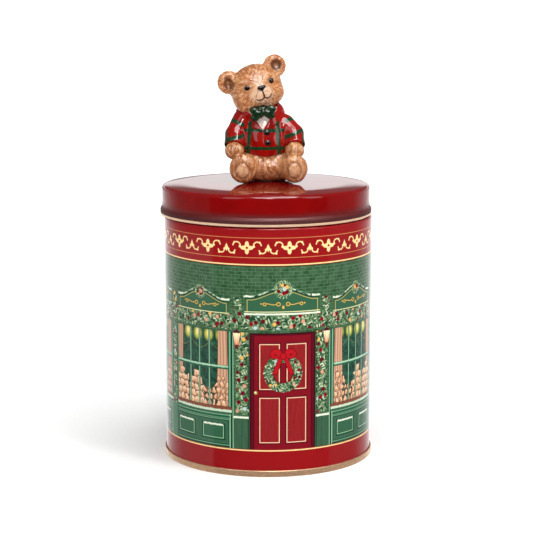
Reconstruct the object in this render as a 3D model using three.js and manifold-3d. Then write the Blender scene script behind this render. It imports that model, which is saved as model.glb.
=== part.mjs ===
// A round cookie tin: a printed sheet-metal can with a double-seamed base, a loose slip lid,
// and a hollow glazed ceramic teddy bear screwed to the lid as its handle.
// Millimetres, +Z up. The origin is on the ground, on the axis of the can; the front faces -Y.

import * as THREE from 'three';
import { mergeVertices } from 'three/addons/utils/BufferGeometryUtils.js';
import Module from 'manifold-3d';

const wasm = await Module();
wasm.setup();

// ---------------------------------------------------------------- driving dimensions

const BODY_R = 65;              // outside radius of the can
const SHEET = 0.25;             // tinplate thickness
const SEGMENTS = 54;            // facets round every turned sheet part
const GAP = 0.1;                // clearance between pieces that touch

const SEAM_GAP = 0.06;          // clearance between the folded layers of the base seam
const SEAM_HEIGHT = 3.9;        // height of the base seam above the ground
const BASE_PANEL_Z = 4.4;       // sheet centre of the recessed base panel
const BASE_BEAD_R = 52;         // stiffening step in the base panel
const BASE_BEAD_RISE = 0.9;

const SHOULDER_Z = 151.9;       // sheet centre of the ledge where the can is necked in
const NECK_R = 62.9;            // outside radius of the neck inside the lid
const RIM_ROLL_R = 0.9;         // rolled safety edge of the mouth
const LAP_WIDTH = 1.2;          // overlap of the sheet's two welded edges, at the back
const LAP_BULGE = 0.15;         // how far the lap stands out on both sides of the sheet
const LAP_GAP = 0.4;            // between the lap's foot and the base seam

const LID_TOP_Z = 172.4;        // outside of the lid's flat panel
const LID_OFFSET_X = -1.4;      // the loose lid sits to one side of its play
const LID_CORNER_R = 2.2;       // sheet-centre radius between panel and skirt
const LID_BEAD_R = 66.0;        // sheet-centre radius of the bead round the skirt's edge
const LID_BEAD_TOP_Z = 158.4;   // where the skirt starts to flare into the bead
const LID_BEAD_LOW_Z = 153.4;   // centre of the hem under the bead
const LID_HEM_R = 0.55;

const SCREW_R = 1.95;           // M4 shank, drawn as a plain rod
const SCREW_HEAD_R = 4;
const SCREW_HEAD_H = 2.6;
const SCREW_REACH = 6.4;        // shank above the lid's panel
const RECESS_ARM = 2.3;         // half length of the cross recess in the head
const RECESS_HALF = 0.5;        // half width of its slots
const RECESS_DEPTH = 1.5;
const SCREW_HOLE_R = 2.4;
const SCREW_Y = 7;              // the bear sits a little behind the lid's centre
const WASHER_R = 6;
const WASHER_T = 1;
const PAD_R = 7.5;              // rubber pad in the recess under the bear
const PAD_T = 0.9;
const PLUG_R = 4.5;             // threaded plug glued in the bear's pour hole
const PLUG_TOP = 6.8;           // plug's upper end above the lid's panel

const HEAD_ROLL = 17;           // degrees, the bear's head leans to its right shoulder
const HEAD_YAW = 11;            // degrees, and looks a little to its left
const HEAD_CENTRE = [-6.2, 7, 58.3];
const TRUNK_X = -0.8;           // middle of the trunk and arms
const SEAT_X = 1.6;             // middle of the legs
const JACKET_HEM = 16.6;        // lower edge of the jacket above the lid's panel

// Worked out from the above.
const SHEET_R = BODY_R - SHEET / 2;
const PITCH = SHEET + SEAM_GAP;

// ---------------------------------------------------------------- helpers

// Removes everything but position, welds shared corners and drops the flat slivers on the axis.
function closed(geometry) {
  const bare = geometry.index ? geometry.toNonIndexed() : geometry.clone();
  bare.deleteAttribute('normal');
  bare.deleteAttribute('uv');
  const merged = mergeVertices(bare, 1e-4);
  const index = merged.index.array;
  const kept = [];
  for (let i = 0; i < index.length; i += 3) {
    const [a, b, c] = [index[i], index[i + 1], index[i + 2]];
    if (a !== b && b !== c && c !== a) kept.push(a, b, c);
  }
  merged.setIndex(kept);
  return merged;
}

function solid(geometry) {
  const shape = closed(geometry);
  const vertProperties = new Float32Array(shape.attributes.position.array);
  const triVerts = new Uint32Array(shape.index.array);
  return new wasm.Manifold(new wasm.Mesh({ numProp: 3, vertProperties, triVerts }));
}

function toGeometry(manifold) {
  const mesh = manifold.getMesh();
  const geometry = new THREE.BufferGeometry();
  geometry.setAttribute('position', new THREE.Float32BufferAttribute(mesh.vertProperties, 3));
  geometry.setIndex(Array.from(mesh.triVerts));
  return geometry;
}

const join = (solids) => solids.reduce((sum, piece) => sum.add(piece));

// An arc as a list of [radius, height] points; angles in degrees, from the outward direction.
function arc(r, z, radius, from, to, steps) {
  return Array.from({ length: steps + 1 }, (_, i) => {
    const angle = THREE.MathUtils.degToRad(from + (to - from) * i / steps);
    return [r + radius * Math.cos(angle), z + radius * Math.sin(angle)];
  });
}

// A profile in [radius, height] turned about +Z.
function turned(profile, segments = SEGMENTS) {
  const points = profile.map(([r, z]) => new THREE.Vector2(r, z));
  const closes = profile[0][0] < 1e-6 && profile.at(-1)[0] < 1e-6;
  if (!closes) points.push(points[0].clone());
  const geometry = new THREE.LatheGeometry(points, segments);
  geometry.rotateX(Math.PI / 2);
  return geometry;
}

// The profile of a folded sheet of one thickness, from the line along its middle.
// The line runs with the sheet's outside on its right.
function sheetProfile(line) {
  const side = (offset) => line.map(([r, z], i) => {
    const [r0, z0] = line[Math.max(i - 1, 0)];
    const [r1, z1] = line[Math.min(i + 1, line.length - 1)];
    const before = new THREE.Vector2(r - r0, z - z0).normalize();
    const after = new THREE.Vector2(r1 - r, z1 - z).normalize();
    const along = before.clone().add(after).normalize();
    const stretch = i > 0 && i < line.length - 1 ? 1 / along.dot(after) : 1;
    const shiftR = r < 1e-6 ? 0 : offset * along.y * stretch;
    return [r + shiftR, z - offset * along.x * stretch];
  });
  return [...side(SHEET / 2), ...side(-SHEET / 2).reverse()];
}

// A ball stretched to three radii.
function ball([x, y, z], [rx, ry, rz], across = 12, down = 8) {
  const geometry = new THREE.SphereGeometry(1, across, down);
  geometry.rotateX(Math.PI / 2);
  geometry.scale(rx, ry, rz);
  geometry.translate(x, y, z);
  return solid(geometry);
}

// A tapered rod with round ends.
function limb(from, to, r0, r1) {
  const a = new THREE.Vector3(...from);
  const b = new THREE.Vector3(...to);
  const rod = new THREE.CylinderGeometry(r1, r0, a.distanceTo(b), 12, 1);
  const turn = new THREE.Quaternion().setFromUnitVectors(
    new THREE.Vector3(0, 1, 0), b.clone().sub(a).normalize());
  rod.applyQuaternion(turn);
  rod.translate(...a.clone().add(b).multiplyScalar(0.5).toArray());
  return join([solid(rod), ball(from, [r0, r0, r0]), ball(to, [r1, r1, r1])]);
}

function cylinder(r, low, high, segments = 24) {
  return solid(turned([[0, low], [r, low], [r, high], [0, high]], segments));
}

function block([x0, y0, z0], [x1, y1, z1]) {
  const geometry = new THREE.BoxGeometry(x1 - x0, y1 - y0, z1 - z0);
  geometry.translate((x0 + x1) / 2, (y0 + y1) / 2, (z0 + z1) / 2);
  return solid(geometry);
}

// ---------------------------------------------------------------- the can

// Three folds share one centre under the seam: base outside, body hook between, base hook inside.
const SEAM_R = SHEET_R + PITCH;                  // middle of the hook layers
const SEAM_LOW_Z = 2 * PITCH * Math.cos(Math.PI / 10) + SHEET / 2;
const SEAM_TOP_Z = SEAM_HEIGHT - PITCH - SHEET / 2;

function wallGeometry() {
  const rollZ = LID_TOP_Z - SHEET - 3 * GAP - SHEET / 2 - RIM_ROLL_R;
  const neckR = NECK_R - SHEET / 2;
  const line = [
    [SEAM_R + PITCH, SEAM_TOP_Z - 0.5],
    ...arc(SEAM_R, SEAM_LOW_Z, PITCH, 0, -180, 5),
    ...arc(SHEET_R - 1, SHOULDER_Z - 1, 1, 0, 90, 3),
    ...arc(neckR + 0.8, SHOULDER_Z + 0.8, 0.8, 270, 180, 2),
    ...arc(neckR - RIM_ROLL_R, rollZ, RIM_ROLL_R, 0, 275, 5),
  ];
  const shell = solid(turned(sheetProfile(line)));
  // The sheet's two edges lap at the back, where they are welded.
  const lap = new THREE.Shape();
  const half = LAP_WIDTH / 2 / BODY_R;
  const back = Math.PI / 2;
  lap.absarc(0, 0, BODY_R - LAP_BULGE, back - half, back + half, false);
  lap.absarc(0, 0, BODY_R + LAP_BULGE, back + half, back - half, true);
  const foot = SEAM_HEIGHT + LAP_GAP;
  const strip = new THREE.ExtrudeGeometry(lap, {
    depth: SHOULDER_Z - 2 - foot, bevelEnabled: false, curveSegments: 1,
  });
  strip.translate(0, 0, foot);
  return toGeometry(shell.add(solid(strip)));
}

function baseGeometry() {
  const chuckR = SHEET_R - PITCH;
  const line = [
    [0, BASE_PANEL_Z + BASE_BEAD_RISE],
    [BASE_BEAD_R - 1.6, BASE_PANEL_Z + BASE_BEAD_RISE],
    [BASE_BEAD_R, BASE_PANEL_Z],
    ...arc(chuckR - 1, BASE_PANEL_Z - 1, 1, 90, 0, 3),
    ...arc(SEAM_R, SEAM_LOW_Z, 2 * PITCH, -180, 0, 5),
    ...arc(SEAM_R + PITCH, SEAM_TOP_Z, PITCH, 0, 180, 3),
    [SEAM_R, SEAM_LOW_Z + 0.5],
  ];
  return closed(turned(sheetProfile(line)));
}

// ---------------------------------------------------------------- the lid and its fixings

function lidGeometry() {
  const z = LID_TOP_Z - SHEET / 2;
  const flare = 50;
  const flareR = (LID_BEAD_R - SHEET_R) / (1 - Math.cos(THREE.MathUtils.degToRad(flare))) / 2;
  const beadZ = LID_BEAD_TOP_Z - 2 * flareR * Math.sin(THREE.MathUtils.degToRad(flare));
  const line = [
    [0, z],
    ...arc(SHEET_R - LID_CORNER_R, z - LID_CORNER_R, LID_CORNER_R, 90, 0, 3),
    ...arc(SHEET_R + flareR, LID_BEAD_TOP_Z, flareR, 180, 180 + flare, 2),
    ...arc(LID_BEAD_R - flareR, beadZ, flareR, flare, 0, 2).slice(1),
    ...arc(LID_BEAD_R - LID_HEM_R, LID_BEAD_LOW_Z, LID_HEM_R, 0, -180, 4),
    [LID_BEAD_R - 2 * LID_HEM_R, LID_BEAD_LOW_Z + 1.1],
  ];
  const hole = cylinder(SCREW_HOLE_R, LID_TOP_Z - 1, LID_TOP_Z + 1).translate([0, SCREW_Y, 0]);
  return toGeometry(solid(turned(sheetProfile(line))).subtract(hole));
}

// Heights here are above the lid's panel.
function screwGeometry() {
  const top = -SHEET - WASHER_T - 2 * GAP;
  const low = top - SCREW_HEAD_H;
  const profile = [
    [0, low],
    [SCREW_HEAD_R - 1.2, low],
    [SCREW_HEAD_R - 0.3, low + 0.7],
    [SCREW_HEAD_R, low + 1.6],
    [SCREW_HEAD_R, top],
    [SCREW_R, top],
    [SCREW_R, SCREW_REACH - 0.6],
    [SCREW_R - 0.6, SCREW_REACH],
    [0, SCREW_REACH],
  ];
  const floor = low + RECESS_DEPTH;
  const recess = block([-RECESS_ARM, -RECESS_HALF, low - 1], [RECESS_ARM, RECESS_HALF, floor])
    .add(block([-RECESS_HALF, -RECESS_ARM, low - 1], [RECESS_HALF, RECESS_ARM, floor]));
  return toGeometry(solid(turned(profile, 32)).subtract(recess));
}

function ringGeometry(inner, outer, low, high) {
  return closed(turned([[inner, low], [outer, low], [outer, high], [inner, high]], 32));
}

// ---------------------------------------------------------------- the bear

// Places a piece that is built round the head's own centre, facing -Y.
function onHead(piece) {
  return piece.rotate([0, 0, HEAD_YAW]).rotate([0, -HEAD_ROLL, 0]).translate(HEAD_CENTRE);
}

function ear(side) {
  const disc = ball([0, 0, 0], [7.4, 3.4, 7.4], 16, 8);
  const bowl = ball([0, -3.6, -0.4], [4.6, 2.6, 4.6], 12, 6);
  return disc.subtract(bowl).translate([side * 16.4, 1, 9]);
}

function head() {
  return onHead(join([
    ball([0, 0, 0], [16.6, 14.6, 14.8], 18, 12),
    ball([-8.5, -3, -6.5], [8.2, 9, 7.2]),
    ball([8.5, -3, -6.5], [8.2, 9, 7.2]),
    ball([0, -12, -3.8], [8.2, 6.6, 6.4]),
    ball([0, -17.6, -0.6], [2.6, 1.8, 1.9], 8, 6),
    ball([-7.7, -12.6, 2.2], [1.9, 1.4, 2.1], 8, 6),
    ball([7.7, -12.6, 2.2], [1.9, 1.4, 2.1], 8, 6),
    ear(-1),
    ear(1),
  ]));
}

// side is -1 on the left, 1 on the right.
function arm(side) {
  const shoulder = [side * 15.5 + TRUNK_X, 10.5, 36];
  const cuff = [side * 19 + TRUNK_X, 0.5, 25];
  const paw = [side * 18.8 + TRUNK_X, -4.6, 20];
  return join([limb(shoulder, cuff, 7.2, 7.4), ball(paw, [6.2, 6.4, 5.4])]);
}

function leg(side) {
  const hip = [side * 8.5 + SEAT_X, 10, 9.6];
  const ankle = [side * 15.6 + SEAT_X, -9, 9];
  return join([
    limb(hip, ankle, 9.3, 7.6),
    ball([side * 16.4 + SEAT_X, -12, 8.9], [8.3, 5.2, 8.6]),
  ]);
}

function torso() {
  const skin = ball([TRUNK_X, 10, 24], [16.4, 15.2, 26], 18, 12);
  const jacket = ball([TRUNK_X, 10, 25], [17.6, 16.6, 26], 18, 12)
    .subtract(block([-40, -40, -10], [40, 40, JACKET_HEM]));
  return join([
    skin,
    jacket,
    ball([1, 6.5, 7.6], [20, 14, 9.8], 16, 10),
    ball([-3.6, 8.4, 45], [15, 13.6, 5.6]),
  ]);
}

function bowTie() {
  return join([
    ball([-6.4, -6.2, 43.4], [4.8, 2.6, 3.9], 10, 7),
    ball([2.6, -6.2, 44.8], [4.8, 2.6, 3.9], 10, 7),
    ball([-1.9, -7.4, 43.8], [2, 2, 2.4], 8, 6),
  ]);
}

function buttons() {
  return join([
    ball([0.7, -6.6, 31.8], [1.9, 1.4, 1.9], 8, 6),
    ball([1.2, -7, 25], [1.9, 1.4, 1.9], 8, 6),
  ]);
}

// Heights here are above the lid's panel. The casting is hollow and open at its pour hole.
function bearGeometry() {
  const outside = join([
    torso(), head(), arm(-1), arm(1), leg(-1), leg(1), bowTie(), buttons(),
  ]);
  const hollow = join([
    ball([0.5, 7, 12], [11, 9.5, 5.5], 10, 6),
    ball([TRUNK_X, 10.5, 26], [12, 10.5, 17], 12, 8),
    cylinder(5, 36, 54, 12).translate([-3.4, 9, 0]),
    ball(HEAD_CENTRE, [11.5, 10, 10.5], 12, 8),
    cylinder(PLUG_R + GAP, -1, 10).translate([0, SCREW_Y, 0]),
    cylinder(PAD_R + 3 * GAP, -1, PAD_T + 2 * GAP).translate([0, SCREW_Y, 0]),
    block([-60, -60, -20], [60, 60, GAP]),
  ]);
  return toGeometry(outside.subtract(hollow));
}

// ---------------------------------------------------------------- materials and scene

const finish = (color, roughness, metalness) =>
  new THREE.MeshStandardMaterial({ color, roughness, metalness });

const printedSteel = finish('#1f5a3c', 0.25, 0.2);
const goldLacquer = finish('#c9a46a', 0.3, 0.9);
const redLacquer = finish('#8a0c10', 0.2, 0.2);
const glazedCeramic = finish('#c08a58', 0.15, 0);
const zincSteel = finish('#b8bcc0', 0.35, 1);
const brassPlug = finish('#b89550', 0.4, 1);
const blackRubber = finish('#222222', 0.8, 0);

function piece(name, geometry, material) {
  const mesh = new THREE.Mesh(geometry, material);
  mesh.name = name;
  return mesh;
}

const underLid = -SHEET - GAP;

const can = new THREE.Group();
can.add(
  piece('tin_wall', wallGeometry(), printedSteel),
  piece('tin_base', baseGeometry(), goldLacquer),
);

const lid = new THREE.Group();
lid.position.x = LID_OFFSET_X;
lid.add(piece('lid_shell', lidGeometry(), redLacquer));

const onPanel = new THREE.Group();
onPanel.position.z = LID_TOP_Z;
const fixings = new THREE.Group();
fixings.position.y = SCREW_Y;
onPanel.add(
  piece('bear_figurine', bearGeometry(), glazedCeramic),
  fixings,
);
fixings.add(
  piece('bear_pad', ringGeometry(SCREW_HOLE_R, PAD_R, GAP, GAP + PAD_T), blackRubber),
  piece('bear_plug',
    ringGeometry(SCREW_R + GAP, PLUG_R, PAD_T + 3 * GAP, PLUG_TOP), brassPlug),
  piece('lid_screw', screwGeometry(), zincSteel),
  piece('lid_washer',
    ringGeometry(SCREW_HOLE_R, WASHER_R, underLid - WASHER_T, underLid), zincSteel),
);
lid.add(onPanel);

const cookieTin = new THREE.Group();
cookieTin.name = 'cookie_tin';
cookieTin.add(can, lid);

export default cookieTin;
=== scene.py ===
import math
from functools import partialmethod

import bmesh
import bpy
import numpy as np
from mathutils import Matrix, Vector


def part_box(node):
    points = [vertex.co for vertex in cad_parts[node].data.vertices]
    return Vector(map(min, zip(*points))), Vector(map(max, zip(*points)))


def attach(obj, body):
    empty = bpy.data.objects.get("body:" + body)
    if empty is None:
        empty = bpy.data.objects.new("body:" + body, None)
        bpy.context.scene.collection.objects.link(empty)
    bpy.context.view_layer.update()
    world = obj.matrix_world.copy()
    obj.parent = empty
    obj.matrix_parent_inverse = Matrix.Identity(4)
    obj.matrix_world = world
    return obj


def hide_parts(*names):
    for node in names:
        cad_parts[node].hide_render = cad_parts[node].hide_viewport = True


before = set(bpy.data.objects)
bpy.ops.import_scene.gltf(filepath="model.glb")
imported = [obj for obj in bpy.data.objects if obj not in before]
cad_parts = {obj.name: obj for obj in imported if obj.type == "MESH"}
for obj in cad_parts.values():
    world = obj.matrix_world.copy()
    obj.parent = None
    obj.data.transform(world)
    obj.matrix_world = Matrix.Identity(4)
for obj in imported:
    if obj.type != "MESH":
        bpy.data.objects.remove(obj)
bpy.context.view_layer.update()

# Lengths below are in millimetres, in the row frame, and become metres when a mesh is made.
MM = 0.001

# ------------------------------------------------------------------ sizes

BODY_R = 65.0
SHEET = 0.25
SHEET_R = BODY_R - SHEET / 2
SEAM_PITCH = 0.31                 # sheet plus clearance between the base seam's folds
SEAM_HEIGHT = 3.9
BASE_PANEL_Z = 4.4
BASE_BEAD_R = 52.0
BASE_BEAD_RISE = 0.9
SHOULDER_Z = 151.9
NECK_R = 62.9
RIM_ROLL_R = 0.9
LID_CORNER_R = 2.2
LID_BEAD_R = 66.0
LID_BEAD_TOP_Z = 158.4
LID_BEAD_LOW_Z = 153.4
LID_HEM_R = 0.55
LID_HEM_REACH = 1.1               # how far the hem's edge comes back up inside the bead
LID_FLARE = 50                    # degrees; the slope of the skirt where it widens to the bead
PANEL_BEND = 9.0                  # the lid's panel bends down by this many degrees at its edge
PANEL_BEND_R = 90.0
PANEL_FLAT_R = (SHEET_R - LID_CORNER_R
                - (PANEL_BEND_R - LID_CORNER_R) * math.sin(math.radians(PANEL_BEND)))
RIM_DROP = 1.5                    # the rim stands lower than in the CAD, under the bent panel
GOLD_HEM_Z = 154.3                # the lid's lacquer ends here, above its bare hem
FOLD_R = 0.6                      # small bends in the base's panel
CHUCK_FOLD_R = 1.0                # the bend from the panel down into the seam
SHOULDER_R = 1.0
NECK_FOLD_R = 0.8
HOOK_GAP = 0.5                    # between the end of a seam's hook and the fold beyond it
SHARP = math.radians(40)          # folds sharper than this are shaded as creases

lid_low, lid_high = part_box("lid_shell")
LID_X = (lid_low.x + lid_high.x) / 2 / MM
LID_TOP_Z = lid_high.z / MM
RIM_TOP_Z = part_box("tin_wall")[1].z / MM

# Heights of the printed picture, and widths along the wall from the middle of the door.
LOW_LINE_Z = 16.3                 # the middles of the two gold lines
HIGH_LINE_Z = 130.1
LINE_REACH = 0.7                  # from there to where the shop front begins
DOOR_S = 9.05                     # the door's middle, along the wall from the front
DOOR_HALF = 20.25
BAY_HALF = 31.55
WINDOW_W = 44.3
STRIP_W = 7.4
WINDOW_PITCH = WINDOW_W + STRIP_W
LAST_STRIP = BAY_HALF + 3 * WINDOW_PITCH
SILL_Z = 38.0
SHELF_Z = 42.0                    # what the cakes stand on
FRIEZE_Z = 89.0
DOOR_TOP_Z = 88.4
SLAB_HALF = 17.6
WREATH_Z, WREATH_R = 64.2, 9.1
BOW_Z = 74.6
LANTERN_S, LANTERN_Z = 28.3, 84.6
ORNAMENT_Z = 140.3
ORNAMENTS = 16


def rgb(red, green, blue):
    """A screen colour, 0 to 255, as Blender's linear colour."""
    def linear(value):
        value /= 255
        return value / 12.92 if value <= 0.04045 else ((value + 0.055) / 1.055) ** 2.4
    return (linear(red), linear(green), linear(blue), 1.0)


# ------------------------------------------------------------------ shader arithmetic

def feed(tree, slot, item):
    """Links a Value or a socket to an input, or sets the input to a plain number or colour."""
    item = item.socket if isinstance(item, Value) else item
    if isinstance(item, bpy.types.NodeSocket):
        tree.links.new(item, slot)
    else:
        slot.default_value = item


def add_node(tree, kind, **inputs):
    """A node with its inputs fed; an underscore in a key stands for a space."""
    node = tree.nodes.new(kind)
    for name, item in inputs.items():
        feed(tree, node.inputs[name.replace("_", " ")], item)
    return node


def mixed(tree, mask, under, over):
    """The colour under, and the colour over it where mask is 1."""
    node = tree.nodes.new("ShaderNodeMix")
    node.data_type = "RGBA"
    for slot, item in ((0, mask), (6, under), (7, over)):
        feed(tree, node.inputs[slot], item)
    return node.outputs[2]


def new_material(name):
    material = bpy.data.materials.new(name)
    material.use_nodes = True
    return material, material.node_tree


def coat(material, colour, gloss, relief, strength, depth, **constants):
    """Connects a finish: its colour, its roughness, and a relief that is depth metres deep."""
    tree = material.node_tree
    bump = add_node(tree, "ShaderNodeBump", Height=relief, Strength=strength, Distance=depth)
    inputs = {"Base Color": colour, "Roughness": gloss, "Normal": bump.outputs[0], **constants}
    for key, item in inputs.items():
        feed(tree, tree.nodes["Principled BSDF"].inputs[key], item)
    return material


class Value:
    """A number in a node tree; arithmetic on it adds Math nodes."""

    def __init__(self, tree, socket):
        self.tree, self.socket = tree, socket

    def op(self, name, *others, clamp=False):
        node = self.tree.nodes.new("ShaderNodeMath")
        node.operation = name
        node.use_clamp = clamp
        for slot, item in zip(node.inputs, (self, *others)):
            feed(self.tree, slot, item)
        return Value(self.tree, node.outputs[0])

    __add__ = __radd__ = partialmethod(op, "ADD")
    __sub__ = partialmethod(op, "SUBTRACT")
    __rsub__ = partialmethod(op, "MULTIPLY_ADD", -1.0)
    __mul__ = __rmul__ = partialmethod(op, "MULTIPLY")
    __truediv__ = partialmethod(op, "DIVIDE")
    __mod__ = partialmethod(op, "FLOORED_MODULO")
    __neg__ = partialmethod(op, "MULTIPLY", -1.0)
    __abs__ = partialmethod(op, "ABSOLUTE")
    clamp = partialmethod(op, "ADD", 0.0, clamp=True)
    least = partialmethod(op, "MINIMUM")
    most = partialmethod(op, "MAXIMUM")
    sine = partialmethod(op, "SINE")
    root = partialmethod(op, "SQRT")

    def smooth(self, low, high):
        """0 at low and 1 at high, with an even slope between. low may be the larger."""
        scale = 1 / (high - low)
        return self.op("MULTIPLY_ADD", scale, -low * scale, clamp=True)


class Paint:
    """A painted or printed area: colours laid over each other, placed in millimetres."""

    EDGE = 0.14                   # softness of a printed edge

    def __init__(self, name, ground):
        self.material, self.tree = new_material(name)
        place = self.node("ShaderNodeTexCoord").outputs["Object"]
        split = self.node("ShaderNodeSeparateXYZ", Vector=place)
        self.x, self.y, self.z = (Value(self.tree, split.outputs[i]) * 1000.0 for i in range(3))
        self.flat = self.at(self.x, self.y, self.z)
        self.color = ground

    def node(self, kind, **inputs):
        return add_node(self.tree, kind, **inputs)

    def at(self, x, y, z=0.0):
        return self.node("ShaderNodeCombineXYZ", X=x, Y=y, Z=z).outputs[0]

    # Each shape is a distance in millimetres, negative inside.
    def box(self, u, v, left, right, low, high):
        across = abs(u - (left + right) / 2) - (right - left) / 2
        up = abs(v - (low + high) / 2) - (high - low) / 2
        return across.most(up)

    def disc(self, u, v, centre, radius, stretch=1.0):
        du = u - centre[0]
        dv = (v - centre[1]) * stretch
        return (du * du + dv * dv).root() - radius

    # Each mask is 1 where the ink goes, 0 elsewhere.
    def fill(self, distance, edge=EDGE):
        return distance.op("MULTIPLY_ADD", -1 / edge, 0.5, clamp=True)

    def line(self, distance, width, edge=EDGE):
        return abs(distance).op("MULTIPLY_ADD", -1 / edge, 0.5 + width / 2 / edge, clamp=True)

    def lay(self, mask, ink):
        """Puts ink over what is there."""
        self.color = mixed(self.tree, mask, self.color, ink)

    def area(self, distance, ink, within=None, edge=EDGE):
        """Fills a shape with ink, where the mask within allows it."""
        mask = self.fill(distance, edge)
        self.lay(mask if within is None else mask * within, ink)

    def draw(self, distance, width, ink, within=None, edge=EDGE):
        """Draws a line along the edge of a shape, where the mask within allows it."""
        mask = self.line(distance, width, edge)
        self.lay(mask if within is None else mask * within, ink)

    def stripes(self, across, *rows):
        """Straight lines, each with its place, width and ink."""
        for place, width, ink in rows:
            self.draw(across - place, width, ink)

    def noise(self, scale, detail=2.0, vector=None):
        node = self.node("ShaderNodeTexNoise", Vector=vector or self.flat, Scale=scale,
                         Detail=detail)
        return Value(self.tree, node.outputs["Fac"])

    def jitter(self, scale, detail, reach, vector=None):
        """Noise from minus to plus half of reach."""
        return (self.noise(scale, detail, vector) - 0.5) * reach

    def cells(self, width, height, turn=0.0, scatter=1.0, bend=0.0):
        """Points scattered in stretched, turned cells: the distance to the nearest in cells, and
        its random colour. bend is how far, in millimetres, the cells are pushed out of line."""
        flat = self.flat
        if bend:
            push = self.node("ShaderNodeTexNoise", Vector=flat, Scale=0.35, Detail=1.0)
            shift = self.node("ShaderNodeVectorMath", Vector=push.outputs["Color"])
            shift.operation = "MULTIPLY_ADD"
            feed(self.tree, shift.inputs[1], (bend, bend, 0))
            feed(self.tree, shift.inputs[2], flat)
            flat = shift.outputs[0]
        place = self.node("ShaderNodeMapping", Vector=flat, Rotation=(0, 0, turn),
                          Scale=(width, height, 1))
        place.vector_type = "TEXTURE"
        node = self.node("ShaderNodeTexVoronoi", Vector=place.outputs[0], Scale=1.0,
                         Randomness=scatter)
        node.voronoi_dimensions = "2D"
        return Value(self.tree, node.outputs["Distance"]), node.outputs["Color"]

    def channel(self, colour, index):
        node = self.node("ShaderNodeSeparateColor", Color=colour)
        return Value(self.tree, node.outputs[index])

    def ramp(self, factor, *stops, steps="LINEAR"):
        node = self.node("ShaderNodeValToRGB", Fac=factor)
        node.color_ramp.interpolation = steps
        elements = node.color_ramp.elements
        while len(elements) < len(stops):
            elements.new(0.5)
        for element, (place, colour) in zip(elements, stops):
            element.position, element.color = place, colour
        return node.outputs[0]

    def varnish(self, roughness=0.07, dull=None):
        """Glossy varnish over the colours, a little uneven; dull adds to its roughness."""
        gloss = self.noise(0.05, 3.0).op("MULTIPLY_ADD", 0.08, roughness - 0.03)
        gloss = gloss + dull if dull else gloss
        return coat(self.material, self.color, gloss, self.noise(0.35, 1.0), 0.06, 0.0002)


class Picture(Paint):
    """The wall's print, in millimetres along and up the wall."""

    def __init__(self, name, ground):
        super().__init__(name, ground)
        around = 2 * math.pi * BODY_R
        self.s = self.x.op("ARCTAN2", -self.y) * BODY_R
        self.q = abs(((self.s - (DOOR_S - around / 2)) % around) - around / 2)
        self.flat = self.at(self.s, self.z)

    def bays(self):
        """Distance along a window and its strip, which repeat."""
        return (self.q - BAY_HALF) % WINDOW_PITCH


# ------------------------------------------------------------------ camera, floor and light

# Places and sizes here are in metres.
CAMERA_PLACE = (-0.00102, -1.0477, 0.29296)
CAMERA_DOWN = 9.457               # degrees below level
CAMERA_LENS = 113.45              # focal length in millimetres, for a sensor 36 mm wide
STAGE_R = 90.0
STAGE_SIDES = 96
BACKDROP_HEIGHT = 40.0
FLOOR_TONE = 0.98
WORLD_BEHIND = 1.25
WORLD_ABOVE = 0.15
CEILING_POWER = 2.05
CEILING_ANGLE = 110               # degrees across the overhead glow
LAMP_TARGET = (0, 0, 0.16)
LAMPS = (
    # Name, place, width and height, watts, shows in gloss, lights matt surfaces.
    ("top_box", (0.25, -0.2, 1.5), (0.45, 0.45), 4.0, True, True),
    ("left_box", (-0.8, -1.02, 0.8), (0.5, 1.2), 3.4, True, True),
    ("right_box", (1.06, -0.75, 0.8), (0.46, 1.2), 3.7, True, True),
    ("front_box", (0.1, -1.3, 0.98), (0.22, 0.22), 3.8, True, True),
    ("key_strip", (0.46, -0.44, 1.3), (0.1, 0.36), 1.7, True, True),
    ("front_fill", (0.2, -2.0, 0.5), (1.5, 1.0), 1.1, False, True),
    ("sky_box", (0.16, -0.72, 1.15), (0.85, 0.6), 15.0, True, False),
)


def add_object(name, data):
    made = bpy.data.objects.new(name, data)
    bpy.context.scene.collection.objects.link(made)
    return made


def add_camera():
    data = bpy.data.cameras.new("camera")
    data.lens = CAMERA_LENS
    data.sensor_width = 36.0
    data.clip_end = 500.0
    camera = add_object("camera", data)
    camera.location = CAMERA_PLACE
    camera.rotation_euler = (math.radians(90 - CAMERA_DOWN), 0, 0)
    bpy.context.scene.camera = camera


def add_stage():
    """A pale floor that glows a little far out, inside a white wall that only the camera sees."""
    turns = [2 * math.pi * i / STAGE_SIDES for i in range(STAGE_SIDES)]
    low = [(STAGE_R * math.cos(a), STAGE_R * math.sin(a), 0) for a in turns]
    high = [(x, y, BACKDROP_HEIGHT) for x, y, _ in low]
    sides = [(i, (i + 1) % STAGE_SIDES, STAGE_SIDES + (i + 1) % STAGE_SIDES, STAGE_SIDES + i)
             for i in range(STAGE_SIDES)]
    for name, points, faces, tone in (("floor", low, [tuple(range(STAGE_SIDES))], FLOOR_TONE),
                                      ("backdrop", low + high, sides, 0.0)):
        mesh = bpy.data.meshes.new(name)
        mesh.from_pydata(points, [], faces)
        material, tree = new_material(name)
        glow = 1.0
        if name == "floor":
            place = add_node(tree, "ShaderNodeTexCoord").outputs["Object"]
            far = add_node(tree, "ShaderNodeVectorMath", Vector=place)
            far.operation = "LENGTH"
            glow = Value(tree, far.outputs["Value"]).smooth(0.3, 2.2) * 0.55 + 0.02
        for key, item in (("Base Color", (tone, tone, tone, 1)), ("Roughness", 0.6),
                          ("Specular IOR Level", 0), ("Emission Color", (1, 1, 1, 1)),
                          ("Emission Strength", glow)):
            feed(tree, tree.nodes["Principled BSDF"].inputs[key], item)
        mesh.materials.append(material)
        stage = add_object(name, mesh)
        stage.visible_glossy = False
        stage.visible_diffuse = stage.visible_shadow = name == "floor"


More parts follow.
